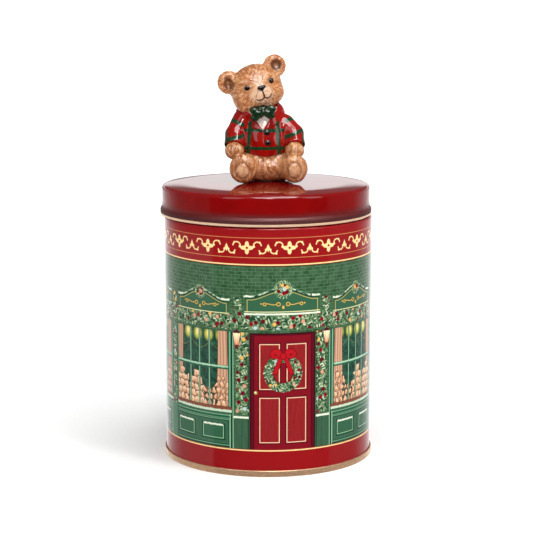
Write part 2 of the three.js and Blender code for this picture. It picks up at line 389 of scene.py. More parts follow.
def add_world():
    """A white sweep behind and beside the object, dim above and in front."""
    world = bpy.data.worlds.new("studio")
    world.use_nodes = True
    bpy.context.scene.world = world
    tree = world.node_tree
    direction = add_node(tree, "ShaderNodeTexCoord").outputs["Generated"]
    split = add_node(tree, "ShaderNodeSeparateXYZ", Vector=direction)
    x, y, z = (Value(tree, split.outputs[i]) for i in range(3))
    turn = x.op("ARCTAN2", -y)
    left_edge, right_edge = math.radians(-64), math.radians(72)
    sharpness = 40
    front = (((turn - left_edge) * sharpness).clamp()
             * ((right_edge - turn) * sharpness).clamp())
    left = turn.op("LESS_THAN", 0.0)
    behind = abs(turn).smooth(math.radians(112), math.radians(158))
    beside = (1.0 - front) * (left * 0.22 + 0.2)
    level = beside * (1.0 - behind) + behind * WORLD_BEHIND
    near_floor = z.smooth(-0.12, -0.08) * z.smooth(0.07, 0.02)
    level = level * (1.0 - near_floor * (left * 0.35 + 0.5))
    above = z.smooth(0.13, 0.2)
    level = level * (1.0 - above) + above * WORLD_ABOVE
    light = tree.nodes["Background"]
    feed(tree, light.inputs["Strength"], level)
    feed(tree, light.inputs["Color"], (1, 1, 1, 1))


def add_lamps():
    """Soft boxes, and a wide overhead glow that gloss doesn't show."""
    for name, place, size, power, glossy, diffuse in LAMPS:
        data = bpy.data.lights.new(name, "AREA")
        data.shape = "RECTANGLE"
        data.size, data.size_y = size
        data.energy = power
        lamp = add_object(name, data)
        lamp.location = place
        lamp.visible_glossy, lamp.visible_diffuse = glossy, diffuse
        way = Vector(LAMP_TARGET) - Vector(place)
        lamp.rotation_euler = way.to_track_quat("-Z", "Y").to_euler()
    data = bpy.data.lights.new("ceiling", "SUN")
    data.energy = CEILING_POWER
    data.angle = math.radians(CEILING_ANGLE)
    ceiling = add_object("ceiling", data)
    ceiling.visible_glossy = False
    ceiling.rotation_euler = (math.radians(22), math.radians(12), 0)
    bpy.context.scene.view_settings.view_transform = "Standard"


# ------------------------------------------------------------------ the print

GOLD_INK = rgb(250, 214, 150)
OLD_GOLD = rgb(184, 170, 92)
SCROLL_GOLD = rgb(206, 168, 78)
RED_INK = rgb(144, 22, 25)
DARK_EDGE = rgb(22, 38, 28)
STRIP_EDGE = rgb(30, 76, 52)
BRICK = rgb(46, 106, 66)
BOARD = rgb(52, 94, 68)
PALE_GREEN = rgb(128, 178, 142)
SNOW = rgb(222, 230, 206)
MAROON = rgb(88, 16, 28)
DOOR_RED = rgb(124, 20, 32)
PANEL_RED = rgb(130, 32, 34)
CREAM = rgb(240, 202, 166)
MID_LEAVES = (0.2, rgb(42, 80, 52)), (0.5, rgb(72, 110, 72)), (0.8, rgb(110, 138, 98))
PALE_SPRIGS = (0.2, rgb(98, 130, 92)), (0.5, rgb(152, 172, 132)), (0.8, rgb(214, 218, 186))
BERRY_INKS = ((0.0, rgb(106, 14, 30)), (0.36, rgb(136, 18, 34)), (0.56, rgb(224, 176, 90)),
              (0.72, rgb(212, 152, 124)), (0.92, rgb(178, 202, 200)))


def leaves(pic, mask, size=1.0):
    """Broad dark and mid leaves, then fine pale sprigs, in short strokes at several slants."""
    pic.lay(mask, rgb(30, 66, 46))
    for turn, width, length, reach, shades in (
            (0.9, 1.7, 5.2, 0.37, MID_LEAVES), (-0.75, 1.6, 5.2, 0.34, MID_LEAVES),
            (0.35, 1.5, 4.8, 0.25, PALE_SPRIGS), (-1.25, 1.4, 4.6, 0.23, PALE_SPRIGS)):
        near, shade = pic.cells(width * size, length * size, turn, bend=1.8)
        pic.lay(near.smooth(reach + 0.07, reach - 0.07) * mask, pic.ramp(shade, *shades))


def berries(pic, mask, spacing=4.2, size=1.2, keep=0.62):
    """Round berries of several inks with dark edges; keep is the share of places that have one."""
    near, shade = pic.cells(spacing, spacing, 0.3, 0.75)
    drawn = pic.channel(shade, 1).op("LESS_THAN", keep)
    ring = near.smooth((size + 0.35) / spacing, (size - 0.05) / spacing) * mask * drawn
    pic.lay(ring * 0.6, rgb(18, 40, 28))
    ball = near.smooth((size + 0.1) / spacing, (size - 0.1) / spacing) * mask * drawn
    pic.lay(ball, pic.ramp(pic.channel(shade, 0), *BERRY_INKS, steps="CONSTANT"))


def bricks(pic):
    """Worn bricks with paler joints."""
    tone = pic.noise(0.22, 2.0)
    base = pic.ramp(tone, (0.35, rgb(42, 75, 45)), (0.62, rgb(66, 97, 70)))
    node = pic.node("ShaderNodeTexBrick", Vector=pic.flat, Color1=base, Color2=base,
                    Mortar=rgb(94, 130, 96), Scale=1.0, Mortar_Size=0.13,
                    Mortar_Smooth=0.4, Brick_Width=5.0, Row_Height=2.1)
    pic.color = node.outputs["Color"]
    mottle = pic.noise(1.6, 1.0).smooth(0.56, 0.72)
    pic.lay(mottle * 0.4, rgb(36, 70, 40))


def gable(pic, u, half, foot, rise, low):
    """A shop sign board: an ogee top between two level shoulders, with mouldings and a gold
    scroll. u is measured from its middle."""
    hump = u.op("SMOOTH_MAX", -u, 0.01).smooth(half * 0.86, half * 0.08)
    top = hump * hump * (3.0 - 2.0 * hump) * rise + foot
    over = pic.z - top
    inside = (u - half).most(over).most(low - pic.z)
    pic.area(inside, BOARD)
    across = pic.fill(u - half)
    pic.draw(over - 0.5, 2.3, rgb(26, 64, 46), across)
    worn = pic.noise(0.5, 1.0).smooth(0.4, 0.6)
    pic.draw(over - 0.7, 0.9, rgb(196, 212, 182), across * worn)
    pic.draw(over - 1.3, 0.4, rgb(92, 140, 104), across)
    pic.area(pic.box(u, over, half - 5.5, half + 0.5, 0.2, 1.7) + worn * 0.5, SNOW)
    pic.draw(over + 1.3, 0.42, OLD_GOLD, pic.fill(u - half + 1.6))
    pic.draw(u - half + 1.7, 0.42, OLD_GOLD, pic.fill(over + 1.3) * pic.fill(low - pic.z))
    pic.draw(pic.z - low - 0.7, 0.5, rgb(226, 222, 164), across)
    middle = low + 5.4
    wave = pic.z - middle - (u * 0.8).sine() * 0.35
    pic.draw(wave, 0.5, SCROLL_GOLD, pic.fill(abs(u - 7.1) - 3.2))
    for across_at, radius in ((2.9, 1.05), (11.2, 0.85)):
        pic.draw(pic.disc(u, pic.z, (across_at, middle), radius), 0.5, SCROLL_GOLD)
    pic.area(pic.disc(u, pic.z, (13.2, middle + 0.3), 0.5), SCROLL_GOLD)
    pic.area(pic.disc(u, pic.z, (0.0, middle - 1.9), 0.75, 0.7), SCROLL_GOLD)


def posy(pic, u, centre, spread):
    """Leaves and bright berries in a round bunch."""
    rise = pic.z - centre[1]
    turn = rise.op("ARCTAN2", u) + pic.noise(0.45, 2.0) * 2.0
    from_middle = pic.disc(u, pic.z, centre, 0.0)
    spike = abs((turn * 7.0).sine())
    shades = pic.ramp(spike, (0.2, rgb(40, 78, 52)), (0.6, rgb(80, 120, 82)),
                      (0.95, rgb(168, 188, 146)))
    heart = from_middle - spread * 0.75
    pic.area(heart - spike * spread * 0.5, shades, edge=0.5)
    leaves(pic, pic.fill(heart), 0.8)
    berries(pic, pic.fill(pic.disc(u, pic.z, centre, spread * 0.85, 1.15)), 2.6, 1.25, 0.95)


def lantern(pic, u, v):
    """A small street lantern; u and v are measured from the middle of its glass."""
    flare = v * 0.16
    glass = (abs(u) - 1.85 - flare).most(abs(v) - 4.0)
    pic.area(glass, pic.ramp((v * 0.12 + 0.5).clamp(), (0.1, rgb(216, 150, 104)),
                             (0.8, rgb(255, 236, 190))))
    pic.draw(abs(u) - 0.85 - flare * 0.5, 0.26, rgb(196, 132, 96), pic.fill(glass))
    pic.draw(glass, 0.4, rgb(104, 40, 44))
    roof = (abs(u) - (5.9 - v) * 1.2 - 0.3).most(abs(v - 5.1) - 1.2)
    pic.area(roof, rgb(76, 24, 34))
    pic.area(abs(u).most(abs(v + 4.7) - 0.5) - 0.9, rgb(96, 36, 40))


def print_bands():
    """The red bands, with gold lines and a row of gold scrolls and stars."""
    pic = Picture("print_bands", RED_INK)
    pic.lay(pic.noise(0.03, 2.0).smooth(0.3, 0.8) * 0.25, rgb(134, 14, 20))
    unit = 2 * math.pi * BODY_R / ORNAMENTS
    u = abs((pic.s % unit) - unit / 2)
    v = pic.z - ORNAMENT_Z
    reach = (u * u + v * v).root()
    turn = v.op("ARCTAN2", u)
    petals = reach - (turn * 4.0).op("COSINE") * 1.0 - 2.9
    pic.area(petals, GOLD_INK)
    pic.area(reach - 0.75, RED_INK)
    for centre, radius in (((6.3, 1.2), 2.3), ((9.4, -1.3), 2.0)):
        pic.draw(pic.disc(u, v, centre, radius), 0.72, GOLD_INK,
                 pic.fill((v - centre[1]) * (-1 if centre[1] > 0 else 1)))
    for centre, radius in (((4.2, 0.8), 0.75), ((11.5, -1.0), 0.7), ((7.7, 3.2), 0.6),
                           ((7.9, -3.3), 0.6)):
        pic.area(pic.disc(u, v, centre, radius), GOLD_INK)
    pic.area(abs(u - unit / 2) + abs(v) * 0.45 - 1.1, GOLD_INK)
    pic.draw(abs(v) - 5.9, 0.28, rgb(214, 150, 92))
    pic.stripes(pic.z, (LOW_LINE_Z, 0.75, GOLD_INK), (HIGH_LINE_Z, 0.75, GOLD_INK))
    return pic.varnish()


def print_frieze():
    """Brick wall, sign boards and the long garland."""
    pic = Picture("print_frieze", BRICK)
    bricks(pic)
    u = pic.q
    gable(pic, u, 23.4, 110.2, 5.0, 101.0)
    from_window = abs(pic.bays() - WINDOW_W / 2)
    # Over the door, the windows' boards are put far out of reach.
    board_u = from_window + u.op("LESS_THAN", BAY_HALF - 1.0) * 200.0
    gable(pic, board_u, 20.6, 107.4, 5.4, 99.4)
    beyond = pic.fill(LAST_STRIP - 2.0 - u)
    ragged = pic.jitter(0.55, 2.0, 4.2)
    garland = abs(pic.z - 95.2) - 4.3 + ragged
    # It climbs between the windows' boards, and beside the door's.
    climb = (abs(from_window - WINDOW_PITCH / 2) - 2.6).most(abs(pic.z - 101.0) - 7.0)
    door_climb = (abs(u - 27.6) - 2.4).most(abs(pic.z - 102.0) - 8.0) + ragged * 0.5
    green = garland.least((climb + ragged * 0.5).most(BAY_HALF - u)).least(door_climb)
    leafy = pic.fill(green) * (1.0 - beyond)
    leaves(pic, leafy)
    berries(pic, leafy)
    pic.draw(pic.z - 100.3 + ragged * 0.12, 1.1, SNOW, pic.fill(u - 23.6))
    posy(pic, u, (0.0, 115.2), 4.6)
    posy(pic, board_u, (0.0, 112.0), 3.4)
    lantern(pic, u - LANTERN_S, pic.z - LANTERN_Z)
    pic.draw(pic.z - (HIGH_LINE_Z - LINE_REACH), 0.5, DARK_EDGE)
    return pic.varnish()


def print_door():
    """The door with its wreath, between two garlanded pilasters with lanterns."""
    pic = Picture("print_door", BRICK)
    bricks(pic)
    u, z = pic.q, pic.z
    pic.area(z - 36.0, rgb(56, 88, 66))
    streak = pic.noise(1.0, 2.0, pic.at(pic.s, z * 0.08))
    pic.lay(streak.smooth(0.4, 0.7) * 0.4, rgb(72, 112, 82))
    pic.stripes(u, (BAY_HALF - 0.9, 0.6, PALE_GREEN), (BAY_HALF - 0.2, 0.5, DARK_EDGE),
                (25.2, 0.3, STRIP_EDGE), (21.2, 0.5, DARK_EDGE))
    # Door frame, slab and panels.
    pic.area((u - DOOR_HALF).most(z - DOOR_TOP_Z), MAROON)
    pic.draw((u - DOOR_HALF + 0.2).most(z - DOOR_TOP_Z), 0.7, rgb(50, 10, 20))
    slab = (u - SLAB_HALF).most(z - DOOR_TOP_Z + 1.0)
    pic.area(slab, DOOR_RED)
    pic.draw(slab, 0.35, rgb(70, 10, 22))
    for low, high in ((21.4, 48.9), (54.4, 81.9)):
        panel = pic.box(u, z, 2.35, 14.1, low, high)
        pic.draw(panel - 0.75, 0.7, rgb(92, 12, 26))
        pic.area(panel, PANEL_RED)
        pic.lay(streak.smooth(0.35, 0.75) * pic.fill(panel) * 0.35, rgb(186, 40, 44))
        pic.draw(panel, 0.5, CREAM)
    knob = pic.disc(pic.s, z, (DOOR_S - 16.6, 52.2), 1.0)
    pic.area(knob - 0.3, rgb(60, 14, 20))
    pic.area(knob, OLD_GOLD)
    pic.area(pic.disc(pic.s, z, (DOOR_S - 16.85, 52.5), 0.45), rgb(255, 240, 200))
    # Garlands down the pilasters and out over the door's top.
    ragged = pic.jitter(0.6, 2.0, 5.0)
    hang = (abs(u - 25.0) - 3.6 + ragged * 0.9).most(38.5 - z).most(u - 30.2)
    drip = 90.2 - z + ragged * 0.6
    green = pic.fill(hang.least(drip))
    leaves(pic, green)
    berries(pic, green, 4.4)
    lantern(pic, u - LANTERN_S, z - LANTERN_Z)
    # Snow on the plinths, which are plain below it.
    pic.draw(z - 36.6 + ragged * 0.1, 1.3, SNOW, pic.fill(20.9 - u) * pic.fill(u - 30.4))
    # Wreath and bow.
    out = pic.disc(u, z, (0.0, WREATH_Z), WREATH_R)
    ring = pic.fill(abs(out) - 2.7 + ragged * 0.35)
    pic.area(abs(out + 0.3) - 3.1 + ragged * 0.35, rgb(60, 8, 20), 0.6)
    leaves(pic, ring, 0.85)
    berries(pic, pic.fill(abs(out) - 2.2), 3.3, 0.9, 0.5)
    bow_red, bow_dark = rgb(176, 24, 32), rgb(108, 10, 22)
    tail = (abs(u - 1.4 - (BOW_Z - 0.6 - z) * 0.36) - 1.6).most(abs(z - 69.4) - 6.0)
    loop = pic.disc(u * 0.9 + (z - BOW_Z - 0.8) * 0.25, z + u * -0.12, (4.2, BOW_Z + 1.0), 3.5,
                    1.05)
    for shape in (tail, loop, pic.disc(u, z, (0.0, BOW_Z), 1.9, 0.85)):
        pic.area(shape, bow_red)
        pic.draw(shape + 0.2, 0.4, bow_dark)
    pic.area(pic.disc(u, z, (4.6, BOW_Z + 0.8), 1.2, 1.4), bow_dark, 0.6)
    return pic.varnish()


def print_windows():
    """A lit shop window with curtains, glazing bars and stacked goods, and the strip beside it."""
    pic = Picture("print_windows", rgb(22, 58, 46))
    t, z = pic.bays(), pic.z
    glow = pic.noise(0.28, 3.0)
    pic.lay(glow.smooth(0.5, 0.68) * 0.8, rgb(44, 104, 76))
    near, shade = pic.cells(1.6, 6.0, 0.5, bend=6.0)
    pic.lay(near.smooth(0.5, 0.3) * 0.5, pic.ramp(shade, (0.2, rgb(18, 52, 40)),
                                                      (0.8, rgb(62, 108, 82))))
    # Glowing bulbs on a sagging string.
    bulb_t = ((t + 5.3) % 8.4) - 4.2
    string = z - 82.0 + abs((t * (math.pi / 14.7)).sine()) * 4.5
    pic.draw(string, 0.28, rgb(142, 140, 74), 0.8)
    bulb = pic.disc(bulb_t, z, (0.0, 86.2), 2.6, 0.8)
    pic.area(bulb - 0.5, rgb(150, 160, 66), edge=1.6)
    pic.area(bulb + 0.5, rgb(206, 204, 92), edge=1.6)
    pic.area(pic.disc(bulb_t, z, (0.0, 87.0), 1.2, 0.7), rgb(250, 218, 150), edge=1.0)
    # Curtains.
    fold = (t * 3.1 + (z * 0.11).sine() * 0.9).sine()
    cloth = pic.ramp(fold.smooth(-1.0, 1.0), (0.0, rgb(172, 122, 98)),
                     (0.45, rgb(192, 148, 118)), (0.85, rgb(206, 164, 134)))
    swell = (z * 0.09).sine() * 0.35
    drawn = (abs(t - 5.9) - 3.4 + swell).least(abs(t - 40.6) - 2.3 - swell)
    pic.area(drawn, cloth)
    pic.draw(drawn, 0.35, rgb(120, 74, 60))
    # Cakes stacked in heaps: rounded loaves on the left, small pointed ones on the right.
    wobble_t = t + pic.jitter(0.26, 1.0, 4.4)
    wobble_z = z + pic.jitter(0.26, 1.0, 4.0, pic.at(pic.s, z, 9.0))
    loaf_heaps = ((38.4, 23.0, 1.2), (25.4, 27.0, 2.0))
    cone_heaps = ((16.2, 13.0, 1.0), (7.2, 22.5, 2.0))
    for heaps, wide, tall, peak in ((loaf_heaps, 4.6, 4.2, 0.0), (cone_heaps, 3.4, 4.0, 0.26)):
        row = ((wobble_z - SHELF_Z) / tall).op("FLOOR")
        offset = (row % 2.0) * (wide / 2)
        shifted = wobble_t + offset
        inner = shifted % wide
        heap = None
        for middle, top, slope in heaps:
            fits = top - abs(shifted - inner + wide / 2 - offset - middle) * slope
            fits = fits - (abs(t - middle) - 6.1).op("GREATER_THAN", 0.0) * 50.0
            heap = heap.most(fits) if heap else fits
        stacked = heap.op("GREATER_THAN", row * tall + 2.0)
        cake_v = (wobble_z - SHELF_Z) % tall - tall / 2
        side = (abs(inner - wide / 2) + (cake_v + tall / 2) * peak - wide / 2 + 1.5).most(0.0)
        lift = (abs(cake_v) - tall / 2 + 1.5).most(0.0)
        cake = (side * side + lift * lift).root() - 1.3
        pic.area(cake - 0.45, rgb(118, 72, 54), stacked, edge=0.3)
        tone = (cake_v + pic.jitter(0.7, 2.0, 5.0)).smooth(-2.6, 2.2)
        crust = pic.ramp(tone, (0.0, rgb(168, 112, 84)), (0.4, rgb(220, 170, 130)),
                         (0.9, rgb(244, 210, 172)))
        pic.area(cake, crust, stacked, edge=0.3)
    # Glazing bars and frame.
    bar = abs(abs(t - 22.75) - 7.55).least(abs(t - 22.75)) - 0.42
    pic.area(bar - 0.3, rgb(20, 60, 44))
    pic.area(bar, rgb(122, 168, 136))
    pic.area(abs(z - 66.8) - 1.2, rgb(40, 90, 66))
    crisp = pic.noise(0.8, 2.0) - 0.5
    pic.draw(z - 67.2 + crisp, 1.1, rgb(166, 204, 172))
    pic.area(pic.box(t, z, -1.0, 2.0, 30.0, 95.0), rgb(58, 118, 86))
    pic.stripes(t, (0.25, 0.4, DARK_EDGE), (1.15, 0.8, rgb(108, 164, 128)), (2.1, 0.35, DARK_EDGE),
                (43.6, 0.9, rgb(88, 146, 110)), (44.2, 0.35, DARK_EDGE))
    # Wooden sill, then snow under it.
    pic.area(z - 42.6, rgb(128, 72, 54))
    pic.draw(z - 42.4, 0.3, rgb(72, 36, 30))
    pic.area(z - 40.6 + crisp, rgb(196, 214, 186))
    pic.area(z - 39.1 + crisp * 0.6, BOARD)
    pic.draw(z - 89.6 + crisp, 0.9, SNOW)
    # The leafy strip between two windows.
    ragged = pic.jitter(0.6, 2.0, 3.0)
    strip = pic.fill(WINDOW_W - t)
    pic.lay(strip, rgb(34, 84, 58))
    vine = pic.fill(abs(t - WINDOW_W - STRIP_W / 2) - 2.3 + ragged)
    leaves(pic, vine)
    berries(pic, vine, 3.8, 0.95)
    return pic.varnish()


def print_panels():
    """The panelled boards under the windows."""
    pic = Picture("print_panels", rgb(52, 92, 70))
    t, z = pic.bays(), pic.z
    grain = pic.noise(1.0, 2.0, pic.at(pic.s, z * 0.1))
    pic.lay(grain.smooth(0.42, 0.7) * 0.4, rgb(76, 116, 86))
    frame_box = pic.box(t, z, 1.9, 43.6, 19.2, 34.0)
    pic.draw(frame_box, 0.5, rgb(26, 66, 46))
    pic.draw(frame_box - 0.6, 0.35, rgb(120, 168, 128))
    u = abs(t - 23.9)
    panel = pic.box(u, z, 3.9, 18.4, 22.6, 30.6)
    pic.draw(panel - 0.8, 0.8, rgb(24, 64, 44))
    pic.area(panel, rgb(50, 94, 68))
    pic.draw(panel, 0.45, rgb(146, 188, 146))
    crisp = pic.jitter(0.8, 2.0, 1.2)
    pic.area(pic.box(u, z, 4.2, 18.1, 30.3, 31.4) + crisp, SNOW)
    pic.stripes(z, (36.4, 1.2, rgb(36, 84, 60)), (37.3, 0.5, rgb(124, 172, 134)),
                (35.5, 0.3, rgb(110, 160, 122)), (17.6, 0.5, DARK_EDGE))
    pic.stripes(t, (0.3, 0.35, DARK_EDGE), (1.0, 0.55, rgb(150, 192, 152)), (44.2, 0.4, DARK_EDGE),
                (48.0, 5.2, rgb(58, 114, 82)), (51.3, 0.5, rgb(30, 70, 50)))
    return pic.varnish()


def print_brick_back():
    """Bricks where the sheet's two ends meet, with the unprinted margin and its weld."""
    pic = Picture("print_brick_back", BRICK)
    bricks(pic)
    from_weld = math.pi * BODY_R - abs(pic.s)
    pic.draw(pic.z - (HIGH_LINE_Z - LINE_REACH), 0.5, DARK_EDGE)
    pic.stripes(pic.q - LAST_STRIP, (0.4, 0.5, STRIP_EDGE), (1.5, 0.5, STRIP_EDGE))
    pic.area(from_weld - 1.9, rgb(206, 190, 160))
    pic.area(from_weld - 0.6, rgb(120, 116, 110))
    return pic.varnish()


# ------------------------------------------------------------------ metal and small materials

def surface(name, colour, tint, roughness, metallic=0.0, grain=(40.0, 40.0, 40.0), blotch=30.0,
            bump=0.05):
    """A finish with fine grain, soft blotches of a second tint, uneven gloss and a light bump."""
    material, tree = new_material(name)
    place = add_node(tree, "ShaderNodeTexCoord").outputs["Object"]
    scaled = add_node(tree, "ShaderNodeMapping", Vector=place, Scale=grain).outputs[0]
    fine = add_node(tree, "ShaderNodeTexNoise", Vector=scaled, Scale=60.0, Detail=3.0).outputs[0]
    soft = add_node(tree, "ShaderNodeTexNoise", Vector=place, Scale=blotch, Detail=2.0).outputs[0]
    gloss = Value(tree, fine).op("MULTIPLY_ADD", roughness * 0.5, roughness * 0.75)
    return coat(material, mixed(tree, soft, colour, tint), gloss, fine, bump, 0.0002,
                Metallic=metallic)


RING_GRAIN = (4.0, 4.0, 160.0)    # drawn out along the turning
GOLD_LACQUER = surface("gold_lacquer", rgb(226, 188, 128), rgb(206, 164, 104), 0.26, 1.0)
# The hem and the seam ring are gold lacquer, but paler and less metallic than the rest: that pale
# colour is painted reflection, in place of the bright floor that gloss doesn't show.
GOLD_HEM = surface("gold_hem", rgb(240, 202, 170), rgb(228, 186, 152), 0.32, 0.3, RING_GRAIN)
GOLD_SEAM = surface("gold_seam", rgb(226, 186, 148), rgb(212, 170, 132), 0.26, 0.6, RING_GRAIN)


# ------------------------------------------------------------------ sheet metal

def arc(r, z, radius, start, stop, steps):
    """Points on an arc about (r, z), from the angle start to stop in degrees."""
    angles = [math.radians(start + (stop - start) * i / steps) for i in range(steps + 1)]
    return [(r + radius * math.cos(a), z + radius * math.sin(a)) for a in angles]


def sheet_sides(line):
    """The two faces of a folded sheet, from the line along its middle: first the right-hand one."""
    steps = [(Vector(b) - Vector(a)).normalized() for a, b in zip(line, line[1:])]
    sides = []
    for offset in (SHEET / 2, -SHEET / 2):
        side = []
        for (r, z), before, after in zip(line, steps[:1] + steps, steps + steps[-1:]):
            along = (before + after).normalized()
            shift = offset / max(along.dot(after), 0.2)
            side.append((r if on_axis(r) else r + shift * along.y, z - shift * along.x))
        sides.append(side)
    return sides


def on_axis(r):
    return r < 1e-6


def turned_mesh(name, profile, closes, angles, paint, centre_x=0.0):
    """Turns a profile about the axis through centre_x. angles are measured from the front, and
    paint(radius, height, angle, index) gives each face's material number."""
    bm = bmesh.new()

    def vertex(r, z, angle=0.0):
        return bm.verts.new(((centre_x + r * math.sin(angle)) * MM, -r * math.cos(angle) * MM,
                             z * MM))

    columns = [[None if on_axis(r) else vertex(r, z, angle) for r, z in profile]
               for angle in angles]
    poles = {i: vertex(0, z) for i, (r, z) in enumerate(profile) if on_axis(r)}
    count = len(profile)
    for column, here in enumerate(columns):
        following = (column + 1) % len(angles)
        after = columns[following]
        angle = angles[column] + (angles[following] - angles[column]) % (2 * math.pi) / 2
        for i in range(count if closes else count - 1):
            j = (i + 1) % count
            corners = [here[i] or poles[i], after[i] or poles[i],
                       after[j] or poles[j], here[j] or poles[j]]
            corners = list(dict.fromkeys(corners))
            if len(corners) < 3:
                continue
            face = bm.faces.new(corners)
            middle = [(a + b) / 2 for a, b in zip(profile[i], profile[j])]
            face.material_index = paint(*middle, angle, i)
            face.smooth = True
    bmesh.ops.recalc_face_normals(bm, faces=bm.faces)
    for edge in bm.edges:
        if len(edge.link_faces) == 2 and edge.calc_face_angle() > SHARP:
            edge.smooth = False
    mesh = bpy.data.meshes.new(name)
    bm.to_mesh(mesh)
    bm.free()
    return mesh


def place_piece(name, mesh, materials, body, slot, *nodes):
    """Puts a piece in the scene, on its body, in place of any nodes. slot is not used."""
    piece = add_object(name, mesh)
    for material in materials:
        mesh.materials.append(material)
    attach(piece, body)
    if nodes:
        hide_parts(*nodes)
    return piece


EVEN_ANGLES = [2 * math.pi * i / 240 for i in range(240)]
SEAM_R = SHEET_R + SEAM_PITCH
SEAM_LOW_Z = 2 * SEAM_PITCH + SHEET / 2
SEAM_TOP_Z = SEAM_HEIGHT - SEAM_PITCH - SHEET / 2
# The wall laid flat for baking: the sizes of a strip of print, and of the rest beside it.
UV_MARGIN = 0.01
PRINT_U, PRINT_V = 0.78, 0.47
REST_FROM_U, REST_U, REST_V = 0.795, 0.185, 0.49


def wall_columns():
    """Even columns, with extra ones on the edges of the print's areas."""
    edges = [(DOOR_S + distance) / BODY_R % (2 * math.pi)
             for distance in (BAY_HALF, -BAY_HALF, LAST_STRIP, -LAST_STRIP)]
    spare = math.radians(0.5)
    even = [a for a in EVEN_ANGLES if all(abs(a - e) > spare for e in edges)]
    return sorted(even + edges)


def unroll(mesh, profile):
    """Lays the wall flat for baking: the print in two strips, and the rest beside them."""
    count = len(profile)
    lengths = [0.0]
    for (r0, z0), (r1, z1) in zip(profile, profile[1:] + profile[:1]):
        lengths.append(lengths[-1] + math.hypot(r1 - r0, z1 - z0))
    outer_length = lengths[count // 2]
    layer = mesh.uv_layers.new(name="OFBake")
    for face in mesh.polygons:
        middle = math.atan2(face.center.x, -face.center.y)
        steps = [corner % count for corner in face.vertices]
        closing = 0 in steps and count - 1 in steps
        for loop, step in zip(face.loop_indices, steps):
            place = mesh.vertices[mesh.loops[loop].vertex_index].co
            turn = math.atan2(place.x, -place.y)
            turn = turn / math.pi + 2 * round((middle - turn) / (2 * math.pi))
            along = lengths[count if closing and step == 0 else step]
            if face.material_index > 0:
                left = middle < 0
                u = PRINT_U * (turn + left)
                v = 0.5 * left + PRINT_V * along / outer_length
            else:
                u = REST_FROM_U + REST_U * along / lengths[-1]
                v = REST_V * (turn + 1)
            layer.data[loop].uv = (UV_MARGIN + u, UV_MARGIN + v)


def make_can():
    """The wall, from its hook in the base seam to its rolled rim, with the print's six areas."""
    shop_low_z, shop_high_z = LOW_LINE_Z + LINE_REACH, HIGH_LINE_Z - LINE_REACH
    roll_z = RIM_TOP_Z - RIM_DROP - SHEET / 2 - RIM_ROLL_R
    neck_r = NECK_R - SHEET / 2
    line = [
        (SEAM_R + SEAM_PITCH, SEAM_TOP_Z - HOOK_GAP),
        *arc(SEAM_R, SEAM_LOW_Z, SEAM_PITCH, 0, -180, 12),
        *[(SHEET_R, z) for z in (shop_low_z, SILL_Z, FRIEZE_Z, shop_high_z)],
        *arc(SHEET_R - SHOULDER_R, SHOULDER_Z - SHOULDER_R, SHOULDER_R, 0, 90, 8),
        *arc(neck_r + NECK_FOLD_R, SHOULDER_Z + NECK_FOLD_R, NECK_FOLD_R, 270, 180, 6),
        *arc(neck_r - RIM_ROLL_R, roll_z, RIM_ROLL_R, 0, 275, 18),
    ]
    outside, inside = sheet_sides(line)
    profile = outside + inside[::-1]

    gold, bands, back, frieze, door, windows, panels = range(7)

    def paint(r, z, angle, index):
        if index >= len(outside) - 1 or r > BODY_R + 0.02 or z > SHOULDER_Z + 0.6:
            return gold
        if z > shop_high_z or z < shop_low_z:
            return bands
        half_way = math.pi * BODY_R
        from_door = abs((angle * BODY_R - DOOR_S + half_way) % (2 * half_way) - half_way)
        if from_door > LAST_STRIP:
            return back
        if z > FRIEZE_Z:
            return frieze
        if from_door < BAY_HALF:
            return door
        return windows if z > SILL_Z else panels

    mesh = turned_mesh("can_wall", profile, True, wall_columns(), paint)
    unroll(mesh, profile)
    materials = [GOLD_LACQUER, print_bands(), print_brick_back(), print_frieze(), print_door(),
                 print_windows(), print_panels()]
    place_piece("can_wall", mesh, materials, "can", "printed_tinplate", "tin_wall")


def make_base():
    """The pressed base, from its raised middle to its hook over the wall's."""
    chuck_r = SHEET_R - SEAM_PITCH
    line = [
        (0, BASE_PANEL_Z + BASE_BEAD_RISE),
        (BASE_BEAD_R - 2.4, BASE_PANEL_Z + BASE_BEAD_RISE),
        *arc(BASE_BEAD_R - 1.9, BASE_PANEL_Z + BASE_BEAD_RISE - FOLD_R, FOLD_R, 80, 40, 4),
        *arc(BASE_BEAD_R - 0.5, BASE_PANEL_Z + FOLD_R, FOLD_R, 220, 268, 4),
        *arc(chuck_r - CHUCK_FOLD_R, BASE_PANEL_Z - CHUCK_FOLD_R, CHUCK_FOLD_R, 90, 0, 8),
        *arc(SEAM_R, SEAM_LOW_Z, 2 * SEAM_PITCH, -180, 0, 16),
        *arc(SEAM_R + SEAM_PITCH, SEAM_TOP_Z, SEAM_PITCH, 0, 180, 12),
        (SEAM_R, SEAM_LOW_Z + HOOK_GAP),
    ]
    outside, inside = sheet_sides(line)

    gold, seam = range(2)

    def paint(r, z, angle, index):
        return seam if r > SEAM_R else gold

    mesh = turned_mesh("can_base", outside + inside[::-1], False, EVEN_ANGLES, paint)
    place_piece("can_base", mesh, [GOLD_LACQUER, GOLD_SEAM], "can", "gold_lacquered_tinplate",
                "tin_base")


def lacquer_red():
    """The lid's red, with a painted dark reflection laid over it above the bead, where its gloss is
    duller too.
    """
    pic = Paint("red_lacquer", rgb(126, 6, 7))
    pic.lay(pic.noise(0.06, 2.0).smooth(0.35, 0.65) * 0.6, rgb(114, 5, 6))
    # Painted dark reflection: the red darkens towards the bead.
    dark_reflection_band = pic.z.smooth(162.0, 155.8)
    pic.lay(dark_reflection_band * 0.75, rgb(38, 3, 3))
    return pic.varnish(0.06, dark_reflection_band * 0.5)


